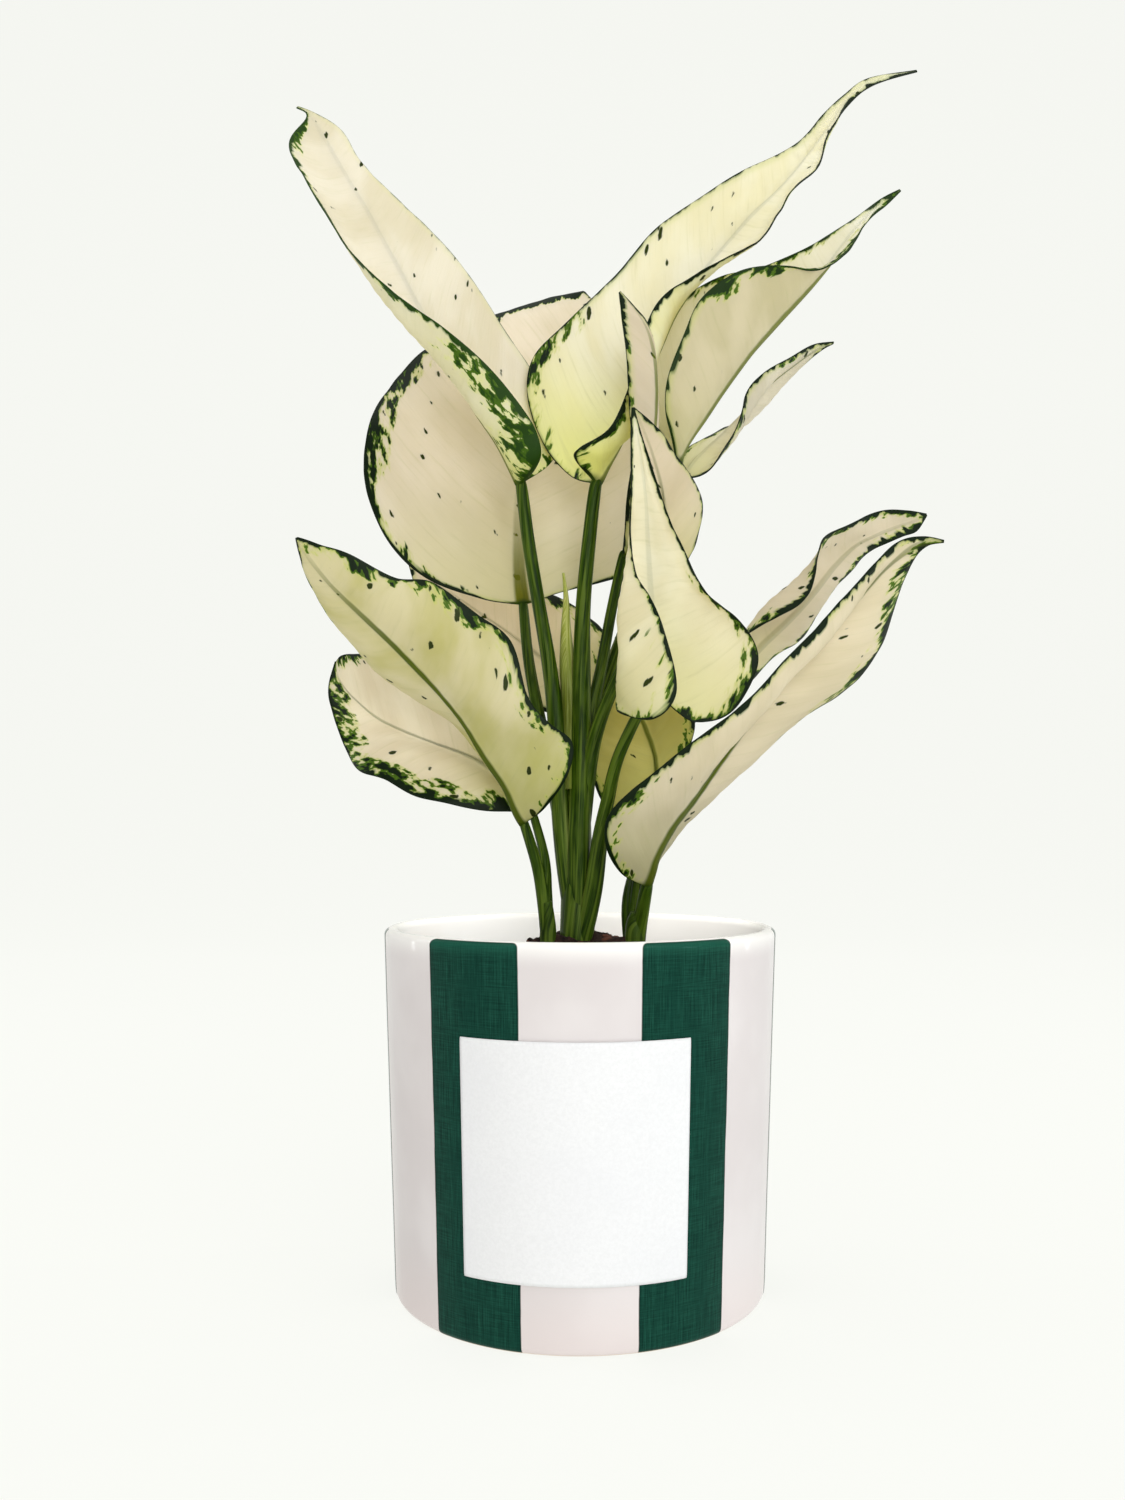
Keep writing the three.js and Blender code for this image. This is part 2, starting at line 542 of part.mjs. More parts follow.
const STALKS = {
  shoot_left: {
    cane: { foot: [-11.4, 7], radius: 2.9, top: 138, lean: [-0.5, 1.5] },
    stalks: {
      leaf_lower_left_front: {
        via: [[-11.8, 124, 7], [-13.2, 137, 8], [-15.4, 150, 10]],
        radii: [2.4, 1.9],
      },
      leaf_lower_left_back: {
        via: [[-11.6, 124, 7], [-12, 140, 6], [-12.7, 153, 5]],
        radii: [2, 1.6],
      },
    },
  },
  shoot_centre: {
    cane: { foot: [-1, 0], radius: 6.2, top: 186, lean: [0, 0] },
    stalks: {
      leaf_upper_left: {
        via: [[-1, 124, 0], [-5.2, 152, 1], [-7.4, 178, 2], [-8.6, 203, 3], [-11, 223, 3], [-15, 246, 3],
          [-18.6, 268, 3]],
        radii: [3.6, 3.4, 2.6, 2.4],
      },
      leaf_upper_right: {
        via: [[-1, 124, 1], [0, 160, 4], [0.6, 190, 5], [0.6, 222, 6], [1.2, 245, 6.5], [3.3, 268, 7]],
        radii: [3.8, 3.6, 2.7, 2.4],
      },
      leaf_back_round: {
        via: [[-1, 130, -1], [-6, 162, -4], [-11, 187, -8], [-15.3, 207, -10], [-18.6, 225, -12]],
        radii: [3.2, 2.8, 2.2, 2],
      },
      leaf_back_low: { via: [[-1, 165, -3], [0, 186, -7]], radii: [3.2, 2.4, 1.9] },
      leaf_right_upper: {
        via: [[1, 172, -2], [5, 200, -4], [11, 222, -5], [20, 246, -7], [29, 273, -8]],
        radii: [3.2, 2.4, 2],
      },
      leaf_right_small: {
        via: [[0, 158, -3], [4, 190, -7], [12, 217, -10], [23, 246, -12], [31, 270, -16]],
        radii: [3, 2, 1.7],
      },
      leaf_centre_front: {
        via: [[0, 120, 2], [4.8, 141, 5], [7.2, 159.7, 9], [10, 174, 12], [14, 190, 17]],
        radii: [3.4, 3, 2.3, 2],
      },
      leaf_centre_behind: {
        via: [[1, 166, 3], [5, 195, 7], [13, 217, 12], [22, 233, 16]],
        radii: [3, 2.2, 1.9],
      },
      leaf_centre_tall: {
        via: [[1, 168, 1], [4.5, 205, 1], [8, 224, 1], [11, 241, 2]],
        radii: [3, 2.2, 1.9],
      },
    },
    newLeaf: {
      path: [[-2, 178, 3], [-3, 205, 3], [-4.3, 222, 3], [-5, 236, 3], [-5, 247, 3], [-6, 256, 3]],
      radii: [4, 3.6, 3.2, 2, 1.1, 0.5],
    },
  },
  shoot_right: {
    cane: { foot: [19.6, 8], radius: 3.6, top: 134, lean: [0.8, 1] },
    stalks: {
      leaf_lower_right_front: { via: [[20.4, 119, 8], [21.6, 129, 9]], radii: [2.8, 2.4] },
      leaf_right_back: {
        via: [[19.2, 120, 8], [18, 139, 1], [24, 160, -10], [33, 182, -17], [36.5, 196, -18]],
        radii: [2.8, 2, 1.8],
      },
      leaf_low_back: { via: [[20, 120, 8], [20.5, 138, 4], [22, 152, -1]], radii: [2.4, 1.7] },
    },
  },
};

function stalk(name, { via, radii }) {
  const [first, second] = leafRows(LEAVES[name]);
  const ahead = second.mid.clone().sub(first.mid).normalize();
  const ends = STALK_STRAIGHT.map((back) => first.mid.clone().addScaledVector(ahead, -back));
  return stem([...via.map(seen), ...ends], radii);
}

// A cane stands upright in its hole in the soil and leans only above it.
function caneStem({ foot, radius, top, lean }) {
  const [x, front] = foot;
  const upright = [-STEM_DEPTH, -CANE_BELOW_SOIL, CANE_ABOVE_SOIL]
    .map((height) => new THREE.Vector3(x, -front, SOIL_CROWN + height));
  const head = new THREE.Vector3(x + lean[0], -front - lean[1], top);
  return stem([...upright, head], [radius, radius, radius, radius * CANE_TOP_TAPER], CANE_SIDES);
}

function shoot({ cane, stalks, newLeaf }) {
  const stems = Object.entries(stalks).map(([name, spec]) => stalk(name, spec));
  if (newLeaf) {
    stems.push(stem(newLeaf.path, newLeaf.radii));
  }
  const solid = stems.reduce((sum, piece) => sum.add(toManifold(piece)), toManifold(caneStem(cane)));
  return toGeometry(solid);
}

// Pot, grow pot, soil and label

function lathe(profile, sides) {
  const points = profile.map(([r, z]) => new THREE.Vector2(r, z));
  const geometry = new THREE.LatheGeometry(points, sides);
  geometry.rotateX(Math.PI / 2);
  return geometry;
}

// The outer radius of the ceramic pot at a height.
function potRadius(z) {
  return POT_BASE_RADIUS + ((POT_RIM_RADIUS - POT_BASE_RADIUS) * z) / POT_HEIGHT;
}

function arc(centreR, centreZ, radius, from, to, steps) {
  return Array.from({ length: steps + 1 }, (_, i) => {
    const angle = THREE.MathUtils.degToRad(from + ((to - from) * i) / steps);
    return [centreR + radius * Math.cos(angle), centreZ + radius * Math.sin(angle)];
  });
}

function pot() {
  const lip = POT_WALL / 2;
  const inside = (z) => potRadius(z) - POT_WALL;
  const profile = [
    [0, 0],
    [POT_BASE_RADIUS - POT_FOOT_ROUND, 0],
    ...arc(POT_BASE_RADIUS - POT_FOOT_ROUND, POT_FOOT_ROUND, POT_FOOT_ROUND, -60, 0, 2),
    ...arc(potRadius(POT_HEIGHT - lip) - lip, POT_HEIGHT - lip, lip, 0, 180, POT_RIM_STEPS),
    [inside(POT_FLOOR + POT_INNER_FILLET), POT_FLOOR + POT_INNER_FILLET],
    [inside(POT_FLOOR) - POT_INNER_FILLET, POT_FLOOR],
    [0, POT_FLOOR],
  ];
  return lathe(profile, POT_SIDES);
}

const growFloor = POT_FLOOR + GAP;

// The radius of the grow pot's outer wall at a height.
function growRadius(z) {
  const share = (z - growFloor) / (GROW_TOP - growFloor);
  return GROW_BASE_RADIUS + (GROW_TOP_RADIUS - GROW_BASE_RADIUS) * share;
}

function growPot() {
  const lipZ = GROW_TOP - GROW_LIP_DROP;
  const profile = [
    [0, growFloor],
    [GROW_BASE_RADIUS - GROW_FOOT_BEVEL, growFloor],
    [GROW_BASE_RADIUS, growFloor + GROW_FOOT_BEVEL],
    [growRadius(lipZ), lipZ],
    [GROW_RIM_RADIUS, lipZ],
    [GROW_RIM_RADIUS, GROW_TOP],
    [growRadius(GROW_TOP) - GROW_WALL, GROW_TOP],
    [growRadius(growFloor + GROW_WALL) - GROW_WALL, growFloor + GROW_WALL],
    [0, growFloor + GROW_WALL],
  ];
  let solid = toManifold(lathe(profile, GROW_SIDES));
  for (let i = 0; i < DRAIN_HOLES; i += 1) {
    const angle = (2 * Math.PI * i) / DRAIN_HOLES;
    const [x, y] = [DRAIN_CIRCLE * Math.cos(angle), DRAIN_CIRCLE * Math.sin(angle)];
    const drill = new THREE.CylinderGeometry(DRAIN_RADIUS, DRAIN_RADIUS, 3 * GROW_WALL, DRAIN_SIDES);
    drill.rotateX(Math.PI / 2);
    drill.translate(x, y, growFloor + GROW_WALL / 2);
    solid = solid.subtract(toManifold(drill));
  }
  return toGeometry(solid);
}

function soil() {
  const floor = growFloor + GROW_WALL + GAP;
  const inner = (z) => growRadius(z) - GROW_WALL - 2 * GAP;
  const dome = (share) => SOIL_EDGE + (SOIL_CROWN - SOIL_EDGE) * (1 - share * share);
  const radius = inner(SOIL_EDGE);
  const profile = [
    [0, floor],
    [inner(floor) - SOIL_FOOT_BEVEL, floor],
    [radius, SOIL_EDGE],
    ...SOIL_RINGS.map((share) => [radius * share, dome(share)]),
    [0, dome(SOIL_FLAT_TOP)],
  ];
  let solid = toManifold(lathe(profile, GROW_SIDES));
  Object.values(STALKS).forEach(({ cane }) => {
    const [x, front] = cane.foot;
    const top = SOIL_CROWN + CANE_ABOVE_SOIL;
    const bottom = SOIL_CROWN - STEM_DEPTH - GAP;
    const clear = cane.radius + HOLE_CLEARANCE;
    const hole = new THREE.CylinderGeometry(clear, clear, top - bottom, HOLE_SIDES);
    hole.rotateX(Math.PI / 2);
    hole.translate(x, -front, (top + bottom) / 2);
    solid = solid.subtract(toManifold(hole));
  });
  return toGeometry(solid);
}

function label() {
  const vertices = [];
  const faces = [];
  for (let i = 0; i <= LABEL_STEPS; i += 1) {
    const share = i / LABEL_STEPS;
    const angle = THREE.MathUtils.degToRad(LABEL_LEFT + (LABEL_RIGHT - LABEL_LEFT) * share);
    [[LABEL_BOTTOM, 0], [LABEL_TOP, 0], [LABEL_TOP, LABEL_THICKNESS], [LABEL_BOTTOM, LABEL_THICKNESS]]
      .forEach(([z, out]) => {
        const radius = potRadius(z) + GAP + out;
        vertices.push(new THREE.Vector3(radius * Math.sin(angle), -radius * Math.cos(angle), z));
      });
  }
  for (let i = 0; i < LABEL_STEPS; i += 1) {
    for (let j = 0; j < LABEL_CORNERS; j += 1) {
      const a = i * LABEL_CORNERS + j;
      const b = i * LABEL_CORNERS + ((j + 1) % LABEL_CORNERS);
      faces.push([a, b + LABEL_CORNERS, a + LABEL_CORNERS], [a, b, b + LABEL_CORNERS]);
    }
  }
  const end = LABEL_STEPS * LABEL_CORNERS;
  faces.push([0, 2, 1], [0, 3, 2], [end, end + 1, end + 2], [end, end + 2, end + 3]);
  return gridGeometry(vertices, faces);
}

// The whole object

const glaze = new THREE.MeshStandardMaterial({ color: 0xf4efec, roughness: 0.15, metalness: 0 });
const paper = new THREE.MeshStandardMaterial({ color: 0xfbfbfa, roughness: 0.6, metalness: 0 });
const plastic = new THREE.MeshStandardMaterial({ color: 0x2b2320, roughness: 0.5, metalness: 0 });
const earth = new THREE.MeshStandardMaterial({ color: 0x33231b, roughness: 0.95, metalness: 0 });
const green = new THREE.MeshStandardMaterial({ color: 0x3d5a1c, roughness: 0.45, metalness: 0 });
const cream = new THREE.MeshStandardMaterial({ color: 0xe6e0bd, roughness: 0.45, metalness: 0 });

function place(group, name, geometry, material) {
  const mesh = new THREE.Mesh(geometry, material);
  mesh.name = name;
  group.add(mesh);
}

const vessel = new THREE.Group();
place(vessel, 'pot', pot(), glaze);
place(vessel, 'label', label(), paper);
place(vessel, 'grow_pot', growPot(), plastic);
place(vessel, 'soil', soil(), earth);

const plant = new THREE.Group();
Object.entries(STALKS).forEach(([name, spec]) => place(plant, name, shoot(spec), green));
Object.entries(LEAVES).forEach(([name, leaf]) => place(plant, name, leafBlade(leaf), cream));

const pottedPlant = new THREE.Group();
pottedPlant.add(vessel, plant);

export default pottedPlant;
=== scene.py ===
# A potted chinese evergreen: cream leaves edged in dark green, in a striped glazed pot.
# Shapes are worked out in millimetres in the model's frame and turned into metres when a
# mesh is made. The leaves' rows and the stalks' points are those of the part's source, but
# the row before leaf_upper_left's tip is narrower here.

import math
import random

import bpy
import numpy as np
from mathutils import Euler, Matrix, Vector, noise


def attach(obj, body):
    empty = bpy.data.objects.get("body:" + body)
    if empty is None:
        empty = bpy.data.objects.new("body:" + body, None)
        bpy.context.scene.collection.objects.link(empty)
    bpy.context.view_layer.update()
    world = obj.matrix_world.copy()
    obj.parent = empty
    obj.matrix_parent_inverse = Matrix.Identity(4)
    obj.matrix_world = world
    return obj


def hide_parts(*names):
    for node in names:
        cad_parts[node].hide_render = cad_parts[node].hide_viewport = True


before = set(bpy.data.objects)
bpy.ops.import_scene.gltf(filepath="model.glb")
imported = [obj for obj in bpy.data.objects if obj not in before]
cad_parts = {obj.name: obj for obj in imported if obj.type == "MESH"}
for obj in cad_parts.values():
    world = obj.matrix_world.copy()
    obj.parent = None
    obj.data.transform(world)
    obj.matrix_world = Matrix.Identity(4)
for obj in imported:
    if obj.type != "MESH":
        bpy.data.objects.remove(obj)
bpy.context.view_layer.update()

MM = 0.001

# Ceramic pot
POT_HEIGHT = 129
POT_RIM_RADIUS = 70
POT_BASE_RADIUS = 66
POT_WALL = 5
POT_FLOOR = 6
POT_FOOT_ROUND = 2.5
POT_INNER_FILLET = 5
POT_SIDES = 360
STRIPES = 6
STRIPE_HALF_DEGREES = 14
STRIPE_RELIEF = 0.2
STRIPE_TOP = 1.2
STRIPE_CORNER = 2.5
STRIPE_REACH = 180 / STRIPES

# Label
LABEL_LEFT = -33
LABEL_RIGHT = 30
LABEL_BOTTOM = 22.5
LABEL_TOP = 98.5
LABEL_THICKNESS = 0.5

# Grow pot and soil
GROW_TOP = 112
GROW_RIM_RADIUS = 60
GROW_TOP_RADIUS = 57.5
GROW_BASE_RADIUS = 44
GROW_WALL = 1.4
GROW_LIP_DROP = 7
DRAIN_HOLES = 6
DRAIN_RADIUS = 4
DRAIN_CIRCLE = 30
SOIL_EDGE = 107
SOIL_CROWN = 124.3
SOIL_HEAP = 3.5
SOIL_HEAP_REACH = 7
GAP = 0.3
GROW_FLOOR = POT_FLOOR + GAP
# name, count, sizes, height for a width of 1, and the kind that the soil's material tells apart
SOIL_BITS = [
    ("soil_crumbs", 320, (0.8, 2.2), 0.75, 0.2),
    ("soil_bark", 120, (1.6, 4.2), 0.45, 0.7),
    ("soil_grains", 60, (0.5, 1.2), 0.75, 1.3),
]

# Canes and stalks
STEM_DEPTH = 26
CANE_BELOW_SOIL = 8
CANE_ABOVE_SOIL = 4
CANE_TOP_TAPER = 0.7
SHEATH_EDGE_TURN = 1.15

# Blades: thickness, midrib depth below the blade at the stalk, half widths at the ends
BLADE = 0.6
RIB = 1.6
STALK_HALF = 1.6
TIP_HALF = 0.5
LEAF_STEPS = 132
HALF_SHARES = np.concatenate([[0, 0.02, 0.045, 0.08, 0.12], np.linspace(0.17, 0.93, 14),
                              [0.965, 0.988, 1]])
VEIN_SPACING = 6.5
VEIN_SLOPE = 0.62
VEIN_BEND = 0.006
QUILT = 0.13
PATCH_RAMP = 0.035

# The eye that the leaves' places were judged from; the camera stands there
EYE_DISTANCE = 461
EYE_HEIGHT = 166
FOCAL_SHARE = 1278 / 1500
SENSOR = 36
AXIS_RIGHT_OF_CENTRE = 17.5 / 1500
AXIS_BELOW_CENTRE = 72.4 / 1500

# Stage
FLOOR_COLOUR = (84, 85, 83)
FLOOR_GLOW = (247, 248, 243)
FLOOR_GLOW_STRENGTH = 0.925
SKY_COLOUR = (250, 251, 248)
SKY_STRENGTH = 0.39
# name, place in metres, size, watts, colour, target
LIGHTS = [
    ("key", (0.75, -0.95, 1.3), (0.8, 0.8), 5, (1.0, 0.99, 0.97), (0, 0, 0.2)),
    ("top", (-0.15, -0.1, 1.6), (1.0, 1.0), 7, (1.0, 1.0, 0.98), (0, 0, 0.2)),
    ("front", (0.16, -1.0, 0.34), (0.5, 0.5), 4.2, (1.0, 0.99, 0.97), (0, 0, 0.2)),
    ("side_right", (1.0, -0.49, 0.3), (0.03, 0.15), 0.8, (0.6, 0.85, 1.0), (0, 0, 0.1)),
    ("strip_right", (1.05, 0.34, 0.35), (0.07, 0.8), 2, (1.0, 1.0, 1.0), (0, 0, 0.1)),
    ("strip_left", (-1.05, 0.34, 0.35), (0.07, 0.8), 1.5, (1.0, 1.0, 1.0), (0, 0, 0.1)),
    ("rim_inside", (0, 0.008, 0.152), (0.1, 0.03), 0.03, (1.0, 0.99, 0.98), (0, 0.066, 0.12)),
]

# Each leaf's name is followed by its ripple: the height, the waves along the leaf and the
# phase. Its rows go from its stalk to its tip: the midrib, the left and the right margin, as
# u, v and depth of seen points in millimetres, and how far each half bows out to the
# underside. The first and the last row are a point of the midrib.
LEAF_TABLE = """
leaf_upper_left: 1 3 0.4
-21.5 288 4
-25 295 6  -14.5 297 17  -9.5 297 -6  5 1
-31 306 7  -15.5 307 21  -8.5 309 -12  7 2
-39 318 8  -20 315 24  -13.5 322 -16  8 3
-48 333 8  -33 329.5 26  -24 340 -18  9 3
-57 350 6  -50 344.5 27  -36 358 -18  9 3
-67 369 4  -68 359 25  -49 373 -16  8 3
-78 389 1  -86 376.5 18  -64 389 -13  5 2
-88 406 -1  -99 397 9  -78.5 404.5 -10  3 1
-93.5 415 -2  -105 411 2  -86 415.5 -7  1 0.5
-97.5 421.3 -3  -98.7 420.7 -2.5  -96.3 422 -3.5  0 0
-102 424 -4
leaf_upper_right: 1.2 3.5 1
6 288 8
9 294 7  -4 291.5 3  -2 297 17  1 4
13 301 6  -13 302 -3  0 301 22  2 6
17.5 311 4  -19 319 -8  11 308 23  4 6
22 322 1  -17 333 -12  16.5 322 19  5 5
28 337 -2  -5 345.5 -16  20.5 338 14  5 4
36 353 -4  12 363 -19  28.5 353.5 11  5 3
47 368 -5  27 381 -20  44 363.5 10  5 3
60 383 -6  46 393 -19  64 375.5 8  4 3
69 392 -7  58.5 400 -18  71 386.5 5  4 2
77 400.5 -7.5  68.5 405.5 -16.5  76 393.7 3  3 1
85 410.5 -8  79 412.7 -14.5  86 402 1  2 1
91 418.5 -9  87 421 -13  90 415 -4  1 1
96.3 426.3 -10  95.4 428 -12  96.4 424.7 -8.5  0 0
105 433 -11  104 434.3 -11.5  105.5 431.8 -10  0 0
121.5 437 -12
leaf_right_upper: 1 3 2.2
35 296 -8
38 303 -7  28 306 -16  33 305 2  1 2
44 312 -6  25.5 318 -22  31 315 7  2 3
52 323 -5  26 331 -25  31.5 327 10  3 4
61 335 -5  30 346 -26  37 342 11  4 4
70 345 -5  39 357 -25  44 355 11  4 3
78 354 -6  51 363.5 -23  57 364.5 9  3 3
85 362 -7  66 366 -19  70 367 6  2 2
92 370 -9  81 372 -17  85 365.5 0  1 1
98 378 -11  92 379.5 -15  97 371.5 -5  0 0
105 386 -13  103 387.2 -14  103.8 382.5 -11  0 0
110.5 390.3 -14  109.5 391.5 -14  111 389 -13.5  0 0
115.5 394 -15
leaf_right_small: 0.8 3 0
37 290 -24
40 295.5 -28  38 299.5 -40  43.6 291.4 -21  1 1
45.5 301.5 -32  44 304.3 -48  49 295 -18  2 2
52 307.5 -35  51 308 -55  53.5 303 -18  3 3
58 313.5 -37  58 309.5 -57  57.5 313 -20  3 3
64 320.5 -39  64.5 315.5 -56  61 321.5 -24  3 3
71 327 -41  72 322.5 -53  68 329.5 -30  2 2
79 333 -43  80 330 -50  77 335 -37  1 1
86 337 -45  86.5 336 -47  85 338.5 -43  0 0
91.5 339 -47
leaf_back_round: 1.4 4 0.8
-20.5 244.5 -14
-21.3 251 -16  -8 248.5 -14  -36 247 -12  0 0
-22 261 -19  8 252.5 -15  -56 254.5 -12  2 2
-22.2 273 -23  19 258 -20  -69 266.5 -14  4 4
-21.5 287 -28  27 270 -26  -77 286 -18  5 5
-20 301 -34  30 287 -34  -77.5 302 -24  5 5
-17 315 -41  29 305 -42  -72 318.5 -32  5 5
-13 328 -48  25 322 -50  -58 335 -42  4 4
-8 339 -54  19 336 -57  -38 346 -52  3 3
-3 349 -59  11 347 -62  -16 354 -59  1 1
1.5 357.5 -64
leaf_lower_left_front: 1.1 4 2
-20.5 166 14
-23 170.5 16  -12 172 23  -20 174 6  1 2
-27 179 18  -4.5 183 30  -23 187 -2  3 4
-33.5 189 20  -3 194.5 33  -30 199 -8  4 5
-41 201 22  -10.5 202 35  -38.5 205 -9  5 5
-49.5 212.5 25  -19 212 36  -50 208 -6  5 5
-59 222.5 29  -25 231 37  -62 213.7 2  5 4
-70 233 33  -37 241.5 40  -75 221 10  5 4
-80.5 243 37  -53 252.5 43  -85 233.5 18  4 3
-89.5 252 41  -67 254 45  -93 246 27  3 2
-96 259.5 44  -83 263 47  -98.5 253.5 35  1 1
-100 265 46  -94.5 266.5 48  -101 261.5 42  0 0
-102.3 268.7 48
leaf_lower_left_back: 1.2 4 0.3
-17.8 170.5 0
-22 175.5 -3  -16 183 -9  -25 170 0  1 0
-30 183 -8  -21 196 -18  -35 170.5 0  2 2
-40 189 -13  -31 206 -26  -47 172 0  3 3
-52 193.5 -18  -43 213 -32  -58 175.5 -1  4 4
-63 198 -23  -55 219 -38  -69 180.5 -5  4 4
-72 202.5 -28  -66 223 -42  -79 184 -12  3 3
-79 208 -33  -76 226 -45  -85 194 -21  2 2
-84.5 213.5 -37  -82.5 227 -45  -89.5 206 -30  1 1
-87.5 219 -40  -86 226 -44  -90.7 215 -37  0 0
-88 224 -43
leaf_back_low: 1.2 3 1.5
2.5 208 -17
-0.5 212 -21  8 221 -27  -4 206 -18  1 0
-6 218 -28  9.3 233 -36  -13 206 -24  2 2
-14 225 -35  2 241.5 -43  -24 211 -33  3 3
-23 232 -42  -10 247.5 -49  -35 219 -42  4 4
-33 239 -49  -25 252 -55  -45 228 -49  3 3
-43 246 -56  -38 255.5 -60  -53 238 -56  2 2
-52 252 -62  -50 259 -64  -58 247 -61  1 1
-61.5 259 -68
leaf_centre_front: 0.8 3 0.5
24 212 24
24.8 215.5 25  16.5 211 29  31 209.5 25.5  0 1
25.3 221 27  13.5 206 38  41 202.5 25  5 3
25.8 229 29  27 203.2 49  53.5 205 24  12 5
26 239 31  34.5 213 53  62 216.3 23  15 5
25.5 249 32  30 234 52  64.5 227 22  13 5
25 259 33  26 247 49  58 238 23  9 5
24.5 270 34  20.5 257 44  45 249.5 25  5 4
24 282 35  18 271 41  37 265.5 28  2 3
22.8 293 37  18.5 285 40  30.5 281 32  1 2
21 303 39  18.6 297 41  25.5 295.5 36  0 1
19.8 310 40  18.4 307.5 41  21.7 307.5 39  0 0
19 315.7 41
leaf_centre_behind: 0.7 2.5 0.5
28 243 18
28.5 248 19  33 249 17  24.5 250 21  0 0
29.5 256 20.5  38.5 261 15  22 260 24  1 1
30 266 22  43 272 15  21 271 26  2 1
30 276 23.5  44.6 281 16  20.5 282 27  2 1
29 286 25  41 289 19  20 292 29  2 1
26.5 296 27  34.8 298 22  19.6 301 30  1 1
23.5 305 29  29 307.3 26  19.3 308.5 32  0 0
19.2 315.5 33
leaf_centre_tall: 0.7 3 0.2
15.5 262 4
17.5 268 6  20 270 2  16 268.5 10  0 0
20.5 279 9  25 282 2  17 280 15  1 1
23.5 291 13  28 294 6  18 292 19  1 2
25.5 303 17  28.5 306 11  18.4 304 22  1 2
26.7 315 20.5  27 317 15  18 316 25  1 2
27 326 23  26 327 18  17 328 27  1 2
26 336 24.5  25.8 336.5 20  16 339 28  1 1
22.5 346 26  23.5 347 22.5  15 348.5 29  0 1
14.4 357.5 29
leaf_lower_right_front: 1 4 0.8
24.3 143.5 15
25.8 148 17  27 152 8  14.5 148 25  1 1
27.5 154.5 19  29.5 161 0  9.7 157 32  3 3
32.5 164 20  35 169 -4  10 168 37  4 4
39.5 174 21  43 175 -4  17.5 177.5 41  5 5
47 184.5 23  54 184.5 0  30 186.3 45  5 5
55.5 197 25  67 194.3 4  43.5 196 48  5 5
65 209.5 27  81 203.5 8  57 208 49  4 5
76 221.5 28  96 213.5 12  70.5 221.8 49  4 4
88 234.5 29  106.5 227 16  84 233.5 47  3 4
99 246.5 30  113.5 243.5 20  95.5 247.5 43  2 3
109 257.5 31  118.5 255.5 25  105.5 259.7 38  1 1
119 265 32  121.5 262.5 29  115 267.3 35  0 0
125.5 267.2 32  125.5 265.8 31.5  124 269.2 33  0 0
131.3 267.4 32
leaf_right_back: 1.2 4 2.4
47 213 -18
51.5 216.5 -19  54 212 -22  47.5 222 -15  0 0
58 222.5 -19  62 217 -24  52 230 -9  1 0
66 230.5 -19  71 226.5 -28  60 234 -4  2 -4
76 240 -20  80 233.5 -30  71 239 0  2 -8
85 250 -20  87 242.5 -31  80 247 1  2 -8
92 259 -22  93 252.5 -31  85.5 257.5 -3  2 -5
99 266 -24  100 260 -30  89 269 -9  1 -1
107 270 -26  108 265 -29  98 274.7 -16  0 0
115 273 -28  116 269 -29  109 278.3 -22  0 0
121 275 -29  121.5 271 -29  118 278.6 -26  0 0
125 277 -30
leaf_low_back: 1 3 0.9
25 168 -3
26.5 173 -5  32 174 -4  18 169 -7  0 0
28 180.5 -8  37.5 184 -5  9.5 171.5 -12  1 1
27.5 189.5 -12  39.5 193.5 -7  5 182 -17  2 2
24 199.5 -16  41.5 202.5 -11  4.5 193 -21  2 2
20 209 -19  35.5 211 -13  6.3 204 -25  2 2
16.5 218.5 -25  28 220 -19  9 215 -29  1 1
14.3 226 -29  20.5 228.5 -27  11.5 224.5 -31  0 0
13 233 -32
"""

# Each shoot's name is followed by its cane: the foot's place to the right and to the front,
# the radius, the top's height, and how far the top leans right and forwards. The stalks are
# named after what they carry, with seen points from the cane on, and their radii.
SHOOT_TABLE = """
shoot_left: -11.4 7 2.9 138 -0.5 1.5
leaf_lower_left_front: -11.8 124 7,-13.2 137 8,-15.4 150 10; 2.4 1.9
leaf_lower_left_back: -11.6 124 7,-12 140 6,-12.7 153 5; 2 1.6
shoot_centre: -1 0 6.2 186 0 0
leaf_upper_left: -1 124 0,-5.2 152 1,-7.4 178 2,-8.6 203 3,-11 223 3,-15 246 3,-18.6 268 3; 3.6 3.4 2.6 2.4
leaf_upper_right: -1 124 1,0 160 4,0.6 190 5,0.6 222 6,1.2 245 6.5,3.3 268 7; 3.8 3.6 2.7 2.4
leaf_back_round: -1 130 -1,-6 162 -4,-11 187 -8,-15.3 207 -10,-18.6 225 -12; 3.2 2.8 2.2 2
leaf_back_low: -1 165 -3,0 186 -7; 3.2 2.4 1.9
leaf_right_upper: 1 172 -2,5 200 -4,11 222 -5,20 246 -7,29 273 -8; 3.2 2.4 2
leaf_right_small: 0 158 -3,4 190 -7,12 217 -10,23 246 -12,31 270 -16; 3 2 1.7
leaf_centre_front: 0 120 2,4.8 141 5,7.2 159.7 9,10 174 12,14 190 17; 3.4 3 2.3 2
leaf_centre_behind: 1 166 3,5 195 7,13 217 12,22 233 16; 3 2.2 1.9
leaf_centre_tall: 1 168 1,4.5 205 1,8 224 1,11 241 2; 3 2.2 1.9
new_leaf: -2 178 3,-3 205 3,-4.3 222 3,-5 236 3,-5 247 3,-6 256 3; 4 3.6 3.2 2 1.1 0.5
shoot_right: 19.6 8 3.6 134 0.8 1
leaf_lower_right_front: 20.4 119 8,21.6 129 9; 2.8 2.4
leaf_right_back: 19.2 120 8,18 139 1,24 160 -10,33 182 -17,36.5 196 -18; 2.8 2 1.8
leaf_low_back: 20 120 8,20.5 138 4,22 152 -1; 2.4 1.7
"""

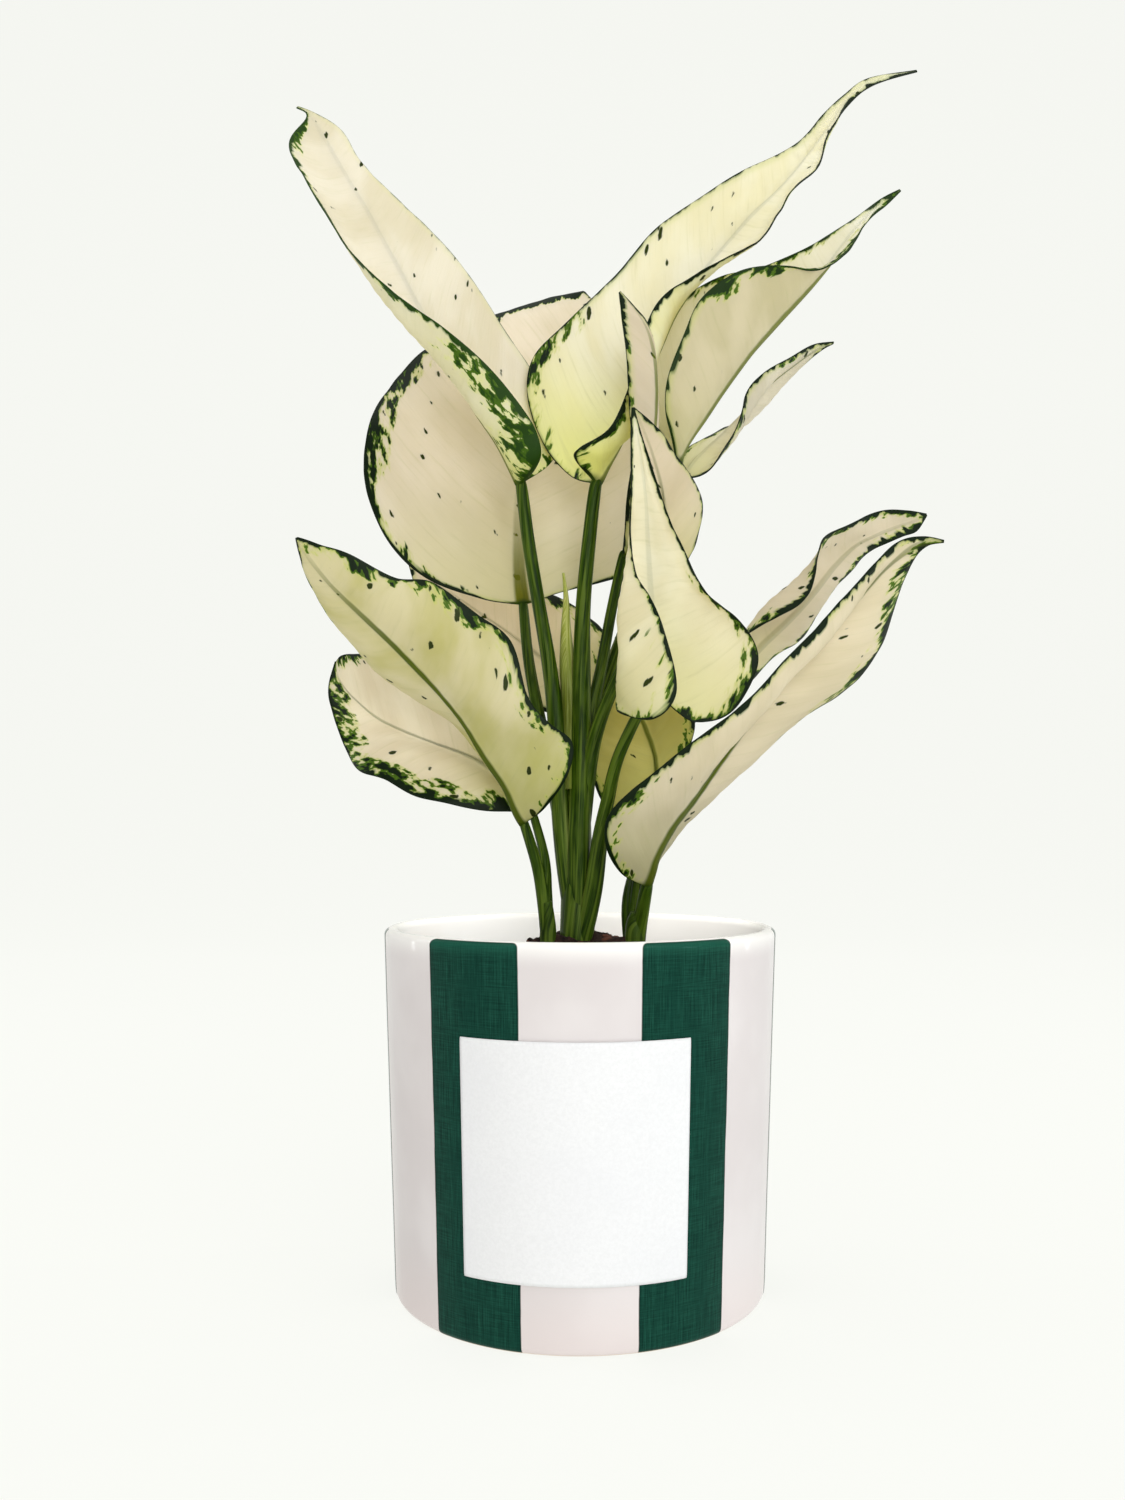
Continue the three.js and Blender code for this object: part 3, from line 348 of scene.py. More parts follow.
# What the blades look like. Colours are display values; above and under are the cloudy
# ground of the two faces. Lines are the widths of the dark line on the left and the right
# margin. Each patch of green blotches is (side, start, end, depth, strength): side 1 is the
# left margin, -1 the right and 0 both; start and end are shares of the way from stalk to tip,
# and depth is in millimetres from the margin.
PLAIN_LOOK = {
    "above": ((250, 247, 236), (243, 236, 214)), "under": ((248, 240, 224), (240, 230, 204)),
    "stalk_colour": (228, 230, 152), "stalk_tint": 0.5, "stalk_reach": 45,
    "vein_colour": (196, 196, 140), "veins": 0.14, "streaks": 0.16,
    "lines": (1.1, 1.1), "margin_tint": 0.45, "halo": 0.7, "halo_colour": (214, 220, 120),
    "mid_green": (84, 120, 22), "dark_green": (12, 34, 4), "dark_from": 0.03,
    "specks": 0.7, "speck_colour": (50, 62, 8),
    "rib": 0.85, "rib_above": 0.12, "rib_colour": ((84, 104, 4), (128, 138, 30)), "rib_reach": 0.85,
    "rib_width": 1, "foot_colour": (58, 84, 12), "roughness": 0.42,
    "glow": (255, 249, 218), "glow_share": 0.5, "translucent": 0.38, "swell": 0.5, "frill": 0.3,
}
LOOKS = {
    "leaf_upper_left": {
        "above": ((247, 241, 229), (238, 230, 210)), "under": ((244, 241, 214), (236, 232, 194)),
        "glow": (255, 252, 236), "stalk_tint": 0.7, "stalk_colour": (242, 243, 168),
        "lines": (1.7, 0.15), "veins": 0.06, "margin_tint": 0.15, "rib_above": 0.05,
        "mid_green": (78, 116, 16), "dark_green": (40, 76, 8), "halo_colour": (236, 240, 160),
        "patches": [(1, 0, 0.24, 26, 1.05), (1, 0.2, 0.46, 13, 0.8), (1, 0.46, 0.8, 4, 0.4),
                    (1, 0.78, 0.95, 6, 0.9), (-1, 0, 0.12, 8, 0.9), (0, 0.93, 1, 4, 0.6)],
    },
    "leaf_upper_right": {
        "above": ((252, 249, 234), (247, 242, 216)), "under": ((252, 251, 224), (247, 244, 196)),
        "glow": (255, 252, 232), "stalk_colour": (246, 248, 140), "stalk_tint": 0.75,
        "stalk_reach": 60, "lines": (0.4, 1.5), "margin_tint": 0.3,
        "patches": [(1, 0.03, 0.34, 8, 0.62), (-1, 0.02, 0.3, 6, 0.55), (-1, 0.5, 0.9, 2.5, 0.5)],
    },
    "leaf_right_upper": {
        "above": ((255, 254, 244), (250, 248, 230)), "under": ((226, 217, 188), (212, 204, 168)),
        "stalk_tint": 0.2, "dark_green": (30, 58, 6),
        "patches": [(-1, 0.42, 0.8, 9, 0.95), (1, 0.4, 0.8, 4, 0.5), (0, 0.9, 1, 3, 0.8)],
    },
    "leaf_right_small": {
        "under": ((232, 226, 210), (220, 214, 196)),
        "patches": [(0, 0.1, 0.9, 3, 0.5)],
    },
    "leaf_back_round": {
        "under": ((246, 237, 225), (238, 229, 212)), "stalk_reach": 60, "stalk_tint": 0.35,
        "rib": 1.0, "rib_reach": 0.28, "rib_width": 1.7,
        "rib_colour": ((104, 112, 8), (140, 140, 30)), "lines": (1.0, 1.4), "dark_from": 0.0,
        "patches": [(-1, 0.42, 0.8, 11, 1.0), (-1, 0.15, 0.45, 4, 0.65), (-1, 0.82, 1, 6, 1.5),
                    (1, 0.1, 0.8, 3, 0.5)],
    },
    "leaf_lower_left_front": {
        "under": ((232, 224, 188), (212, 206, 142)), "above": ((240, 240, 200), (226, 226, 170)),
        "stalk_colour": (204, 206, 104), "stalk_reach": 60, "specks": 0.85, "lines": (1.5, 1.3),
        "rib": 1.0, "rib_width": 1.2, "rib_reach": 0.75,
        "rib_colour": ((66, 88, 2), (106, 118, 14)),
        "patches": [(1, 0.55, 0.95, 8, 0.85), (1, 0.1, 0.55, 6, 0.7), (-1, 0.1, 0.95, 4, 0.65)],
    },
    "leaf_lower_left_back": {
        "under": ((252, 244, 226), (242, 232, 210)), "specks": 0.85, "lines": (1.3, 1.5),
        "rib": 0.4,
        "patches": [(-1, 0.05, 0.7, 9, 0.95), (-1, 0.6, 0.95, 15, 0.9), (0, 0.75, 1, 9, 0.9),
                    (1, 0.3, 0.9, 4, 0.6)],
    },
    "leaf_back_low": {
        "under": ((252, 240, 226), (242, 230, 212)), "rib": 0.25,
        "patches": [(1, 0.1, 0.6, 8, 0.95), (-1, 0.1, 0.9, 3, 0.5)],
    },
    "leaf_centre_front": {
        "above": ((252, 248, 224), (246, 240, 210)), "under": ((246, 241, 216), (237, 230, 198)),
        "patches": [(-1, 0.08, 0.6, 7, 0.85), (1, 0.06, 0.4, 9, 0.65), (1, 0.4, 0.9, 2, 0.4)],
    },
    "leaf_centre_behind": {
        "under": ((232, 219, 194), (222, 209, 180)), "rib": 0.4,
        "patches": [(0, 0.2, 0.9, 2.5, 0.4)],
    },
    "leaf_centre_tall": {
        "under": ((234, 222, 200), (224, 212, 188)), "above": ((238, 228, 204), (228, 218, 190)),
        "patches": [(0, 0.2, 1, 2, 0.4)],
    },
    "leaf_lower_right_front": {
        "under": ((238, 228, 204), (228, 218, 190)), "lines": (1.3, 1.7), "specks": 0.85,
        "rib": 1.0, "rib_width": 1.7, "rib_colour": ((66, 88, 4), (112, 122, 24)),
        "stalk_colour": (180, 178, 118), "stalk_tint": 0.6,
        "patches": [(1, 0.42, 0.92, 9, 0.85), (-1, 0.04, 0.3, 7, 0.55), (-1, 0.3, 0.92, 3, 0.45),
                    (0, 0.92, 1, 5, 0.75)],
    },
    "leaf_right_back": {
        "under": ((234, 224, 204), (224, 214, 190)), "above": ((236, 227, 206), (226, 217, 192)),
        "lines": (2.3, 1.9), "specks": 0.85, "rib": 0.3,
        "patches": [(0, 0.1, 0.95, 5, 0.75)],
    },
    "leaf_low_back": {
        "under": ((232, 224, 146), (216, 208, 124)), "above": ((234, 228, 166), (220, 212, 148)),
        "patches": [(0, 0.05, 0.95, 5, 0.75)],
    },
}


# Tables

def numbers(line):
    return [float(word) for word in line.split()]


def read_leaves(table):
    """Each leaf's ripple and rows, by its name."""
    leaves = {}
    for line in table.strip().splitlines():
        name, colon, values = line.rpartition(":")
        if colon:
            rows = leaves[name] = []
        rows.append(numbers(values))
    return leaves


def read_shoots(table):
    """Each shoot's cane and stalks; a stalk has its points and radii."""
    shoots = {}
    for line in table.strip().splitlines():
        name, values = line.split(":")
        if name.startswith("shoot"):
            stalks = {}
            shoots[name] = numbers(values), stalks
        else:
            points, radii = values.split(";")
            stalks[name] = [numbers(point) for point in points.split(",")], numbers(radii)
    return shoots


LEAVES = read_leaves(LEAF_TABLE)
SHOOTS = read_shoots(SHOOT_TABLE)
CANES = [cane[:3] for cane, stalks in SHOOTS.values()]


# Places and curves

def seen(point):
    """A point that the eye sees at (u, v) on the plane y = 0, depth in front of that plane."""
    u, v, depth = point
    scale = (EYE_DISTANCE - depth) / EYE_DISTANCE
    return np.array([u * scale, -depth, EYE_HEIGHT + (v - EYE_HEIGHT) * scale])


def blend(values, t):
    """Smooth values between the entries of a list, at places t from 0 to 1."""
    values = np.asarray(values, float)
    t = np.atleast_1d(t)
    last = len(values) - 1
    place = np.minimum(t * last, last - 1e-9)
    k = np.floor(place).astype(int)
    f = place - k
    a, b, c, d = (values[np.clip(k + step, 0, last)] for step in (-1, 0, 1, 2))
    if values.ndim > 1:
        f = f[:, None]
    return 0.5 * (2 * b + (c - a) * f + (2 * a - 5 * b + 4 * c - d) * f**2
                  + (3 * b - a - 3 * c + d) * f**3)


def unit(vectors):
    return vectors / np.maximum(np.linalg.norm(vectors, axis=-1, keepdims=True), 1e-9)


def wander(points, scale, seed):
    """Smooth noise from -1 to 1 at points in millimetres, with waves about `scale` long."""
    shift = Vector((seed * 17.3, seed * 5.1, seed * 9.7))
    flat = points.reshape(-1, 3) / scale
    return np.array([noise.noise(Vector(p) + shift) for p in flat]).reshape(points.shape[:-1])


def smooth_step(x):
    x = np.clip(x, 0, 1)
    return x * x * (3 - 2 * x)


# Meshes

def add_object(name, data):
    made = bpy.data.objects.new(name, data)
    bpy.context.scene.collection.objects.link(made)
    return made


def make_piece(name, points, faces, material, replaced=(), fields=()):
    """A smooth mesh piece from points in millimetres, riding on the root body."""
    mesh = bpy.data.meshes.new(name)
    mesh.from_pydata((np.asarray(points) * MM).tolist(), [], faces)
    mesh.update()
    mesh.shade_smooth()
    for key, values in dict(fields).items():
        values = np.asarray(values, float)
        kind, field = ("FLOAT", "value")
        if key.endswith("_place"):
            kind, field = ("FLOAT_VECTOR", "vector")
        mesh.attributes.new(key, kind, "POINT").data.foreach_set(field, values.ravel())
    mesh.materials.append(material)
    piece = add_object(name, mesh)
    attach(piece, "root")
    if replaced:
        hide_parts(*replaced)
    return piece


def grid_faces(lines, columns, closed=False, start=0):
    """The four-cornered faces of a grid of points; closed joins its last column to its first."""
    faces = []
    for i in range(lines - 1):
        for j in range(columns if closed else columns - 1):
            a = start + i * columns + j
            b = start + i * columns + (j + 1) % columns
            faces.append((a, b, b + columns, a + columns))
    return faces


def tube_faces(lines, sides, start=0):
    """The faces of rings of points, with both ends closed."""
    last = start + (lines - 1) * sides
    first_cap = tuple(start + sides - 1 - j for j in range(sides))
    last_cap = tuple(last + j for j in range(sides))
    return grid_faces(lines, sides, True, start) + [first_cap, last_cap]


def sheet_faces(lines, columns):
    """The faces of an upper and a lower grid of points, and of the rim that joins them."""
    count = lines * columns
    upper = grid_faces(lines, columns)
    lower = [tuple(k + count for k in face[::-1]) for face in upper]
    rim = [*range(columns - 1), *(i * columns + columns - 1 for i in range(lines - 1)),
           *(count - 1 - j for j in range(columns - 1)),
           *((lines - 1 - i) * columns for i in range(lines - 1))]
    return upper + lower + [(a + count, b + count, b, a) for a, b in zip(rim, rim[1:] + rim[:1])]


def lathe_points(profile, sides):
    """Rings of points for a profile of (radius, height), the front of the ring first."""
    angles = np.arange(sides) * 2 * math.pi / sides
    return np.concatenate([np.stack([r * np.sin(angles), -r * np.cos(angles), np.full(sides, z)],
                                    axis=1) for r, z in profile])


def arc(centre_r, centre_z, radius, start, end, steps):
    angles = np.radians(np.linspace(start, end, steps + 1))
    return [(centre_r + radius * math.cos(a), centre_z + radius * math.sin(a)) for a in angles]


# Shader nodes

class Nodes:
    """A material's nodes, made by short calls that return output sockets."""

    def __init__(self, name):
        self.material = bpy.data.materials.new(name)
        self.material.use_nodes = True
        self.tree = self.material.node_tree
        self.tree.nodes.clear()

    def add(self, kind, inputs=(), **settings):
        """A node with its settings, and values or sockets for its inputs by name or number."""
        node = self.tree.nodes.new(kind)
        for key, value in settings.items():
            setattr(node, key, value)
        for key, value in dict(inputs).items():
            if isinstance(value, bpy.types.NodeSocket):
                self.tree.links.new(value, node.inputs[key])
            elif value is not None:
                node.inputs[key].default_value = value
        return node

    def attribute(self, name, output="Fac"):
        return self.add("ShaderNodeAttribute", attribute_name=name).outputs[output]

    def place(self):
        return self.add("ShaderNodeTexCoord").outputs["Object"]

    def math(self, operation, *values):
        return self.add("ShaderNodeMath", enumerate(values), operation=operation).outputs[0]

    def times(self, a, b):
        return self.math("MULTIPLY", a, b)

    def plus(self, a, b):
        return self.math("ADD", a, b)

    def minus(self, a, b):
        return self.math("SUBTRACT", a, b)

    def scaled(self, place, x, y):
        inputs = {0: place, 1: (x, y, 1.0)}
        return self.add("ShaderNodeVectorMath", inputs, operation="MULTIPLY").outputs[0]

    def noise(self, place, scale, detail=2, roughness=0.5):
        """Noise from 0 to 1; a pair as scale is for places laid out flat."""
        if isinstance(scale, tuple):
            place, scale = self.scaled(place, *scale), 1.0
        inputs = {"Vector": place, "Scale": scale, "Detail": detail, "Roughness": roughness}
        return self.add("ShaderNodeTexNoise", inputs).outputs["Fac"]

    def cells(self, place, scale):
        """The distance to the nearest of scattered points, and a random colour of that point."""
        found = self.add("ShaderNodeTexVoronoi", {"Vector": place, "Scale": scale}, feature="F1")
        return found.outputs["Distance"], found.outputs["Color"]

    def smooth(self, value, low, high):
        """0 where value is under low and 1 where it is over high, or the other way round."""
        inputs = {"Value": value, "From Min": low, "From Max": high}
        made = self.add("ShaderNodeMapRange", inputs, interpolation_type="SMOOTHSTEP")
        return made.outputs["Result"]

    def mix(self, share, a, b, blend_type="MIX"):
        """Two colours mixed; three numbers are a colour's display values."""
        a, b = (rgb(*c) if isinstance(c, tuple) and len(c) == 3 else c for c in (a, b))
        return self.add("ShaderNodeMix", {0: share, 6: a, 7: b}, data_type="RGBA",
                        blend_type=blend_type, clamp_factor=True).outputs[2]

    def bump(self, height, distance, strength):
        inputs = {"Height": height, "Distance": distance, "Strength": strength}
        return self.add("ShaderNodeBump", inputs).outputs["Normal"]

    def principled(self, colour, roughness, normal=None, specular=0.5):
        inputs = {"Base Color": colour, "Roughness": roughness, "Normal": normal,
                  "Specular IOR Level": specular}
        return self.add("ShaderNodeBsdfPrincipled", inputs).outputs["BSDF"]

    def finish(self, shader):
        self.add("ShaderNodeOutputMaterial", {"Surface": shader})
        return self.material


def rgb(red, green, blue):
    """A linear colour from display values of 0 to 255."""
    def linear(c):
        c /= 255
        return c / 12.92 if c <= 0.04045 else ((c + 0.055) / 1.055) ** 2.4
    return (linear(red), linear(green), linear(blue), 1.0)


# Leaf material

def leaf_material(name, look):
    n = Nodes(name)
    place = n.attribute("leaf_place", "Vector")
    edge, blotch, upper, vein, rib, from_stalk = map(
        n.attribute, ("edge", "blotch", "upper", "vein", "rib", "from_stalk"))

    # Cream ground, cloudy, with its own tint above and below and a tint towards the stalk
    clouds = n.noise(place, (0.035, 0.05), detail=3)
    cloudy = n.smooth(clouds, 0.35, 0.68)
    ground = n.mix(upper, n.mix(cloudy, *look["under"]), n.mix(cloudy, *look["above"]))
    near_stalk = n.times(n.attribute("near_stalk"), look["stalk_tint"])
    ground = n.mix(near_stalk, ground, look["stalk_colour"])

    # Side veins: soft lines that rise from the midrib
    line = n.math("PINGPONG", vein, 0.5)
    vein_line = n.minus(1.0, n.smooth(line, 0.0, 0.16))
    streaks = n.noise(place, (0.09, 0.9), detail=3, roughness=0.6)
    vein_share = n.times(vein_line, n.smooth(streaks, 0.35, 0.7))
    ground = n.mix(n.times(vein_share, look["veins"]), ground, look["vein_colour"])
    fine_streaks = n.smooth(streaks, 0.5, 0.85)
    ground = n.mix(n.times(fine_streaks, look["streaks"]), ground, look["vein_colour"])
    near_margin = n.times(n.smooth(edge, 3.5, 0.5), look["margin_tint"])
    ground = n.mix(near_margin, ground, look["halo_colour"])

    # Green blotches, longer along the margin, thick where the blotch value is high
    big = n.noise(place, (0.2, 0.085), detail=1)
    small = n.noise(place, (0.5, 0.26))
    level = n.plus(n.times(big, 0.5), n.times(small, 0.5))
    bar = n.minus(0.66, n.times(blotch, 0.26))
    over = n.minus(level, bar)
    halo = n.times(n.smooth(over, -0.1, 0.0), n.smooth(blotch, 0.02, 0.25))
    allowed = n.smooth(blotch, 0.01, 0.12)
    mid_green = n.times(n.smooth(over, -0.02, 0.005), allowed)
    dark_green = n.times(n.smooth(over, look["dark_from"], look["dark_from"] + 0.045), allowed)

    # Sparse specks of uneven size, denser towards the margins
    distance, random_colour = n.cells(n.scaled(place, 0.13, 0.17), 1.0)
    pick, size, _ = n.add("ShaderNodeSeparateColor", {0: random_colour}).outputs
    distance = n.plus(distance, n.times(n.minus(small, 0.5), 0.45))
    radius = n.plus(0.06, n.times(size, 0.13))
    spot = n.smooth(n.minus(distance, radius), 0.03, -0.03)
    few = n.plus(0.35, n.times(n.smooth(edge, 16.0, 3.0), 0.65))
    few = n.times(few, look["specks"])
    specks = n.times(spot, n.smooth(n.plus(pick, few), 0.99, 1.01))

    # Dark line along the margin, of uneven width
    along = n.noise(place, (0.02, 0.22))
    uneven = n.times(n.smooth(along, 0.36, 0.64), 1.25)
    width = n.times(n.plus(0.25, uneven), n.attribute("line"))
    inside = n.minus(edge, width)
    margin_dark = n.minus(1.0, n.smooth(inside, -0.2, 0.2))
    margin_soft = n.minus(1.0, n.smooth(inside, 0.0, 1.0))
    margin_soft = n.times(margin_soft, n.smooth(width, 0.0, 0.6))

    colour = n.mix(n.times(halo, look["halo"]), ground, look["halo_colour"])
    colour = n.mix(n.times(margin_soft, 0.6), colour, look["mid_green"])
    colour = n.mix(specks, colour, look["speck_colour"])
    colour = n.mix(mid_green, colour, look["mid_green"])
    colour = n.mix(n.math("MAXIMUM", dark_green, margin_dark), colour, look["dark_green"])

    # Midrib
    on_rib = n.minus(1.0, n.smooth(rib, 0.7, 1.25))
    rib_share = n.mix(upper, (look["rib"],) * 3 + (1,), (look["rib_above"],) * 3 + (1,))
    rib_colour = n.mix(n.noise(place, (2.0, 0.12)), *look["rib_colour"])
    reach = look["rib_reach"]
    fade = n.smooth(from_stalk, reach + 0.25, reach - 0.25)
    colour = n.mix(n.times(n.times(on_rib, fade), rib_share), colour, rib_colour)
    colour = n.mix(n.smooth(from_stalk, 0.045, 0.005), colour, look["foot_colour"])

    grain = n.noise(place, (2.2, 2.2), detail=3, roughness=0.65)
    relief = n.plus(n.times(grain, 0.25), n.times(streaks, 0.35))
    normal = n.bump(relief, 0.00035, 0.5)
    roughness = n.plus(look["roughness"], n.times(grain, 0.12))
    skin = n.principled(colour, roughness, normal, specular=0.22)
    passed = n.mix(look["glow_share"], colour, look["glow"], "MULTIPLY")
    glow = n.add("ShaderNodeBsdfTranslucent", {"Color": passed, "Normal": normal}).outputs[0]
    both = n.add("ShaderNodeMixShader", {0: look["translucent"], 1: skin, 2: glow})
    return n.finish(both.outputs[0])


# Leaves

def leaf_rows(rows):
    """Columns of the rows as points, with short rows at the stalk's end and at the tip."""
    first, *inner, last = rows
    mid, left, right = ([seen(row[k:k + 3]) for row in inner] for k in (0, 3, 6))
    bow_left, bow_right = ([0, *(row[k] for row in inner), 0] for k in (9, 10))

    def end(point, k, half):
        place = seen(point)
        ahead = unit(mid[k] - place)
        outward = (margin - place for margin in (left[k], right[k]))
        return place, *(place + unit(out - ahead * abs(out @ ahead)) * half for out in outward)

    start, tip = end(first, 0, STALK_HALF), end(last, -1, TIP_HALF)
    columns = ([start[k], *points, tip[k]] for k, points in enumerate((mid, left, right)))
    return (*columns, bow_left, bow_right)


def leaf_surface(leaf):
    """The blade's middle surface, from the left margin to the right one, and what lies on it."""
    (height, waves, phase), *rows = leaf
    mid, left, right, bow_left, bow_right = leaf_rows(rows)
    t = np.linspace(0, 1, LEAF_STEPS + 1)
    centre = blend(mid, t)
    ahead = unit(blend(mid, np.minimum(1, t + 0.02)) - blend(mid, np.maximum(0, t - 0.02)))
    wave = height * np.sin(math.pi * t) * np.sin(2 * math.pi * waves * t + phase)
    halves = []
    for edge, bow, sign in ((left, bow_left, 1), (right, bow_right, -1)):
        chord = blend(edge, t) - centre
        up = unit(np.cross(ahead, chord)) * sign
        f = HALF_SHARES[None, :, None]
        lift = sign * wave[:, None, None] * f**2 - blend(bow, t)[:, None, None] * 4 * f * (1 - f)
        halves.append(centre[:, None] + chord[:, None] * f + up[:, None] * lift)
    points = np.concatenate([halves[0][:, ::-1], halves[1][:, 1:]], axis=1)
    return points, t


def across_and_edge(points):
    """Distances in millimetres from the midrib, left positive, and from the nearer margin."""
    middle = points.shape[1] // 2
    steps = np.linalg.norm(np.diff(points, axis=1), axis=2)
    travel = np.concatenate([np.zeros((len(points), 1)), np.cumsum(steps, axis=1)], axis=1)
    across = travel[:, middle:middle + 1] - travel
    edge = np.minimum(travel, travel[:, -1:] - travel)
    return across, edge


def patch_values(patches, t, across, edge):
    """How thick the green blotches lie: each patch is (side, start, end, depth, strength)."""
    total = np.zeros(edge.shape)
    ramp = PATCH_RAMP
    for side, start, end, depth, strength in patches:
        window = smooth_step((t - start + ramp) / (2 * ramp))
        window = window * smooth_step((end + ramp - t) / (2 * ramp))
        reach = np.clip(1 - edge / depth, 0, 1) ** 0.6
        on_side = np.ones_like(edge) if side == 0 else smooth_step(side * across / 1.5 + 0.5)
        total = np.maximum(total, strength * window[:, None] * reach * on_side)
    return total


def face_normals(points):
    return unit(np.cross(np.gradient(points, axis=0), -np.gradient(points, axis=1)))


def lengths_along(points):
    """How far each point of a line lies from its first one."""
    steps = np.linalg.norm(np.diff(points, axis=0), axis=1)
    return np.concatenate([[0], np.cumsum(steps)])


def make_leaf(name, leaf, seed):
    points, t = leaf_surface(leaf)
    lines, columns = points.shape[:2]
    look = {**PLAIN_LOOK, **LOOKS[name]}
    across, edge = across_and_edge(points)
    along = lengths_along(points[:, columns // 2])
    distance = np.abs(across)
    rise = along[:, None] - VEIN_SLOPE * distance - VEIN_BEND * distance**2
    vein = rise / VEIN_SPACING + np.where(across < 0, 0.43, 0.0)

    # The skin swells between the side veins, and the margin is a little frilled
    half_width = np.maximum(edge.max(axis=1, keepdims=True), 1)
    middle = np.sin(math.pi * np.clip(t, 0.02, 0.98))[:, None]
    quilt = -QUILT * np.cos(2 * math.pi * vein) * (
        smooth_step(distance / 4) * smooth_step(edge / 6) * middle)
    swell = look["swell"] * wander(points, 17, seed) * smooth_step(half_width / 8)
    frill = look["frill"] * wander(points, 6, seed + 40)
    frill = frill * smooth_step(1 - edge / 5) * smooth_step(half_width / 6)
    points = points + face_normals(points) * (quilt + swell + frill)[..., None]

    # The thin ends turn as one, so that their two faces don't cross
    normals = face_normals(points)
    narrow = smooth_step(1 - half_width / 6)[..., None]
    ends = unit(normals.mean(axis=1, keepdims=True))
    normals = unit(normals * (1 - narrow) + ends * narrow)

    rib_width = look["rib_width"] * (0.5 + 1.3 * (1 - t)[:, None] ** 0.8)
    on_rib = np.exp(-(distance / rib_width) ** 2)
    thick = BLADE / 2 * (0.55 + 0.45 * smooth_step(edge / 1.2))
    groove = 0.35 * (1 - t)[:, None] * on_rib
    rib_depth = RIB * ((1 - t) ** 0.7)[:, None] * on_rib
    top = points + normals * (thick - groove)[..., None]
    bottom = points - normals * (thick + rib_depth)[..., None]

    ones = np.ones_like(across)
    fields = {
        "leaf_place": np.stack([across, rise, seed * 31.7 * ones], axis=2).reshape(-1, 3),
        "edge": edge, "vein": vein, "rib": distance / rib_width, "from_stalk": t[:, None] * ones,
        "near_stalk": smooth_step(1 - along / look["stalk_reach"])[:, None] * ones,
        "line": np.where(across > 0, *look["lines"]),
        "blotch": patch_values(look["patches"], t, across, edge),
    }
    fields = {key: np.concatenate([values, values]) for key, values in fields.items()}
    fields["upper"] = np.concatenate([ones, 0 * ones])
    points = np.concatenate([top.reshape(-1, 3), bottom.reshape(-1, 3)])
    return make_piece(name + "_blade", points, sheet_faces(lines, columns),
                      leaf_material(name + "_skin", look), [name], fields)


# Stalks, canes and the rolled new leaf

def stem_points(path, radii, across, sides, per_span, shape):
    """Rings of points along a curve. `across` says which way angle 0 looks, and `shape` gives
    each ring's radii as shares of the stem's radius from its angle and place along."""
    path = np.asarray(path, float)
    t = np.linspace(0, 1, (len(path) - 1) * per_span + 1)
    centres = blend(path, t)
    ahead = unit(np.gradient(centres, axis=0))
    front = unit(across - ahead * (ahead @ across)[:, None])
    other = np.cross(ahead, front)
    angles = np.arange(sides) * 2 * math.pi / sides
    share = shape(np.broadcast_to(angles, (len(t), sides)), t[:, None])
    radius = blend(radii, t)[:, None] * share
    points = (centres[:, None] + front[:, None] * (radius * np.cos(angles))[..., None]
              + other[:, None] * (radius * np.sin(angles))[..., None])
    around = angles * radius.mean(axis=1, keepdims=True)
    ones = np.ones_like(around)
    return points, t[:, None] * ones, lengths_along(centres)[:, None] * ones, around


def round_shape(angles, t):
    return np.ones_like(angles) * (1 + 0 * t)


def stalk_shape(angles, t):
    """Round, with a shallow channel on the inner side that opens into a sheath at the base."""
    turn = np.minimum(angles, 2 * math.pi - angles)
    sheath = smooth_step(1 - t / 0.55)
    channel = np.exp(-(turn / 0.55) ** 2)
    wings = np.exp(-((turn - SHEATH_EDGE_TURN) / 0.3) ** 2)
    ridges = 0.012 * np.cos(9 * angles)
    return 1 + ridges - (0.1 + 0.3 * sheath) * channel + 0.22 * sheath * wings


def rolled_shape(angles, t):
    """A leaf rolled on itself: the outer edge lies over the roll in a slow twist."""
    turn = (angles + 2.2 * t - 4.1) % (2 * math.pi)
    return 1 - 0.16 * turn / (2 * math.pi)


def sheath_edges(t, around):
    """How pale a stalk is: the thin edges of its sheath are, and less so further up."""
    turn = np.abs((around / around.max(axis=1, keepdims=True)) * 2 - 1) * math.pi
    edge = np.exp(-((turn - (math.pi - SHEATH_EDGE_TURN)) / 0.22) ** 2)
    return edge * smooth_step(1 - t / 0.4) * 0.75


def stalk_path(name, via):
    """Through the CAD's points, then on into the foot of the blade's midrib."""
    mid = leaf_rows(LEAVES[name][1:])[0]
    ahead = unit(mid[1] - mid[0])
    return [seen(point) for point in via] + [mid[0] - ahead, blend(mid, [0.03])[0]]


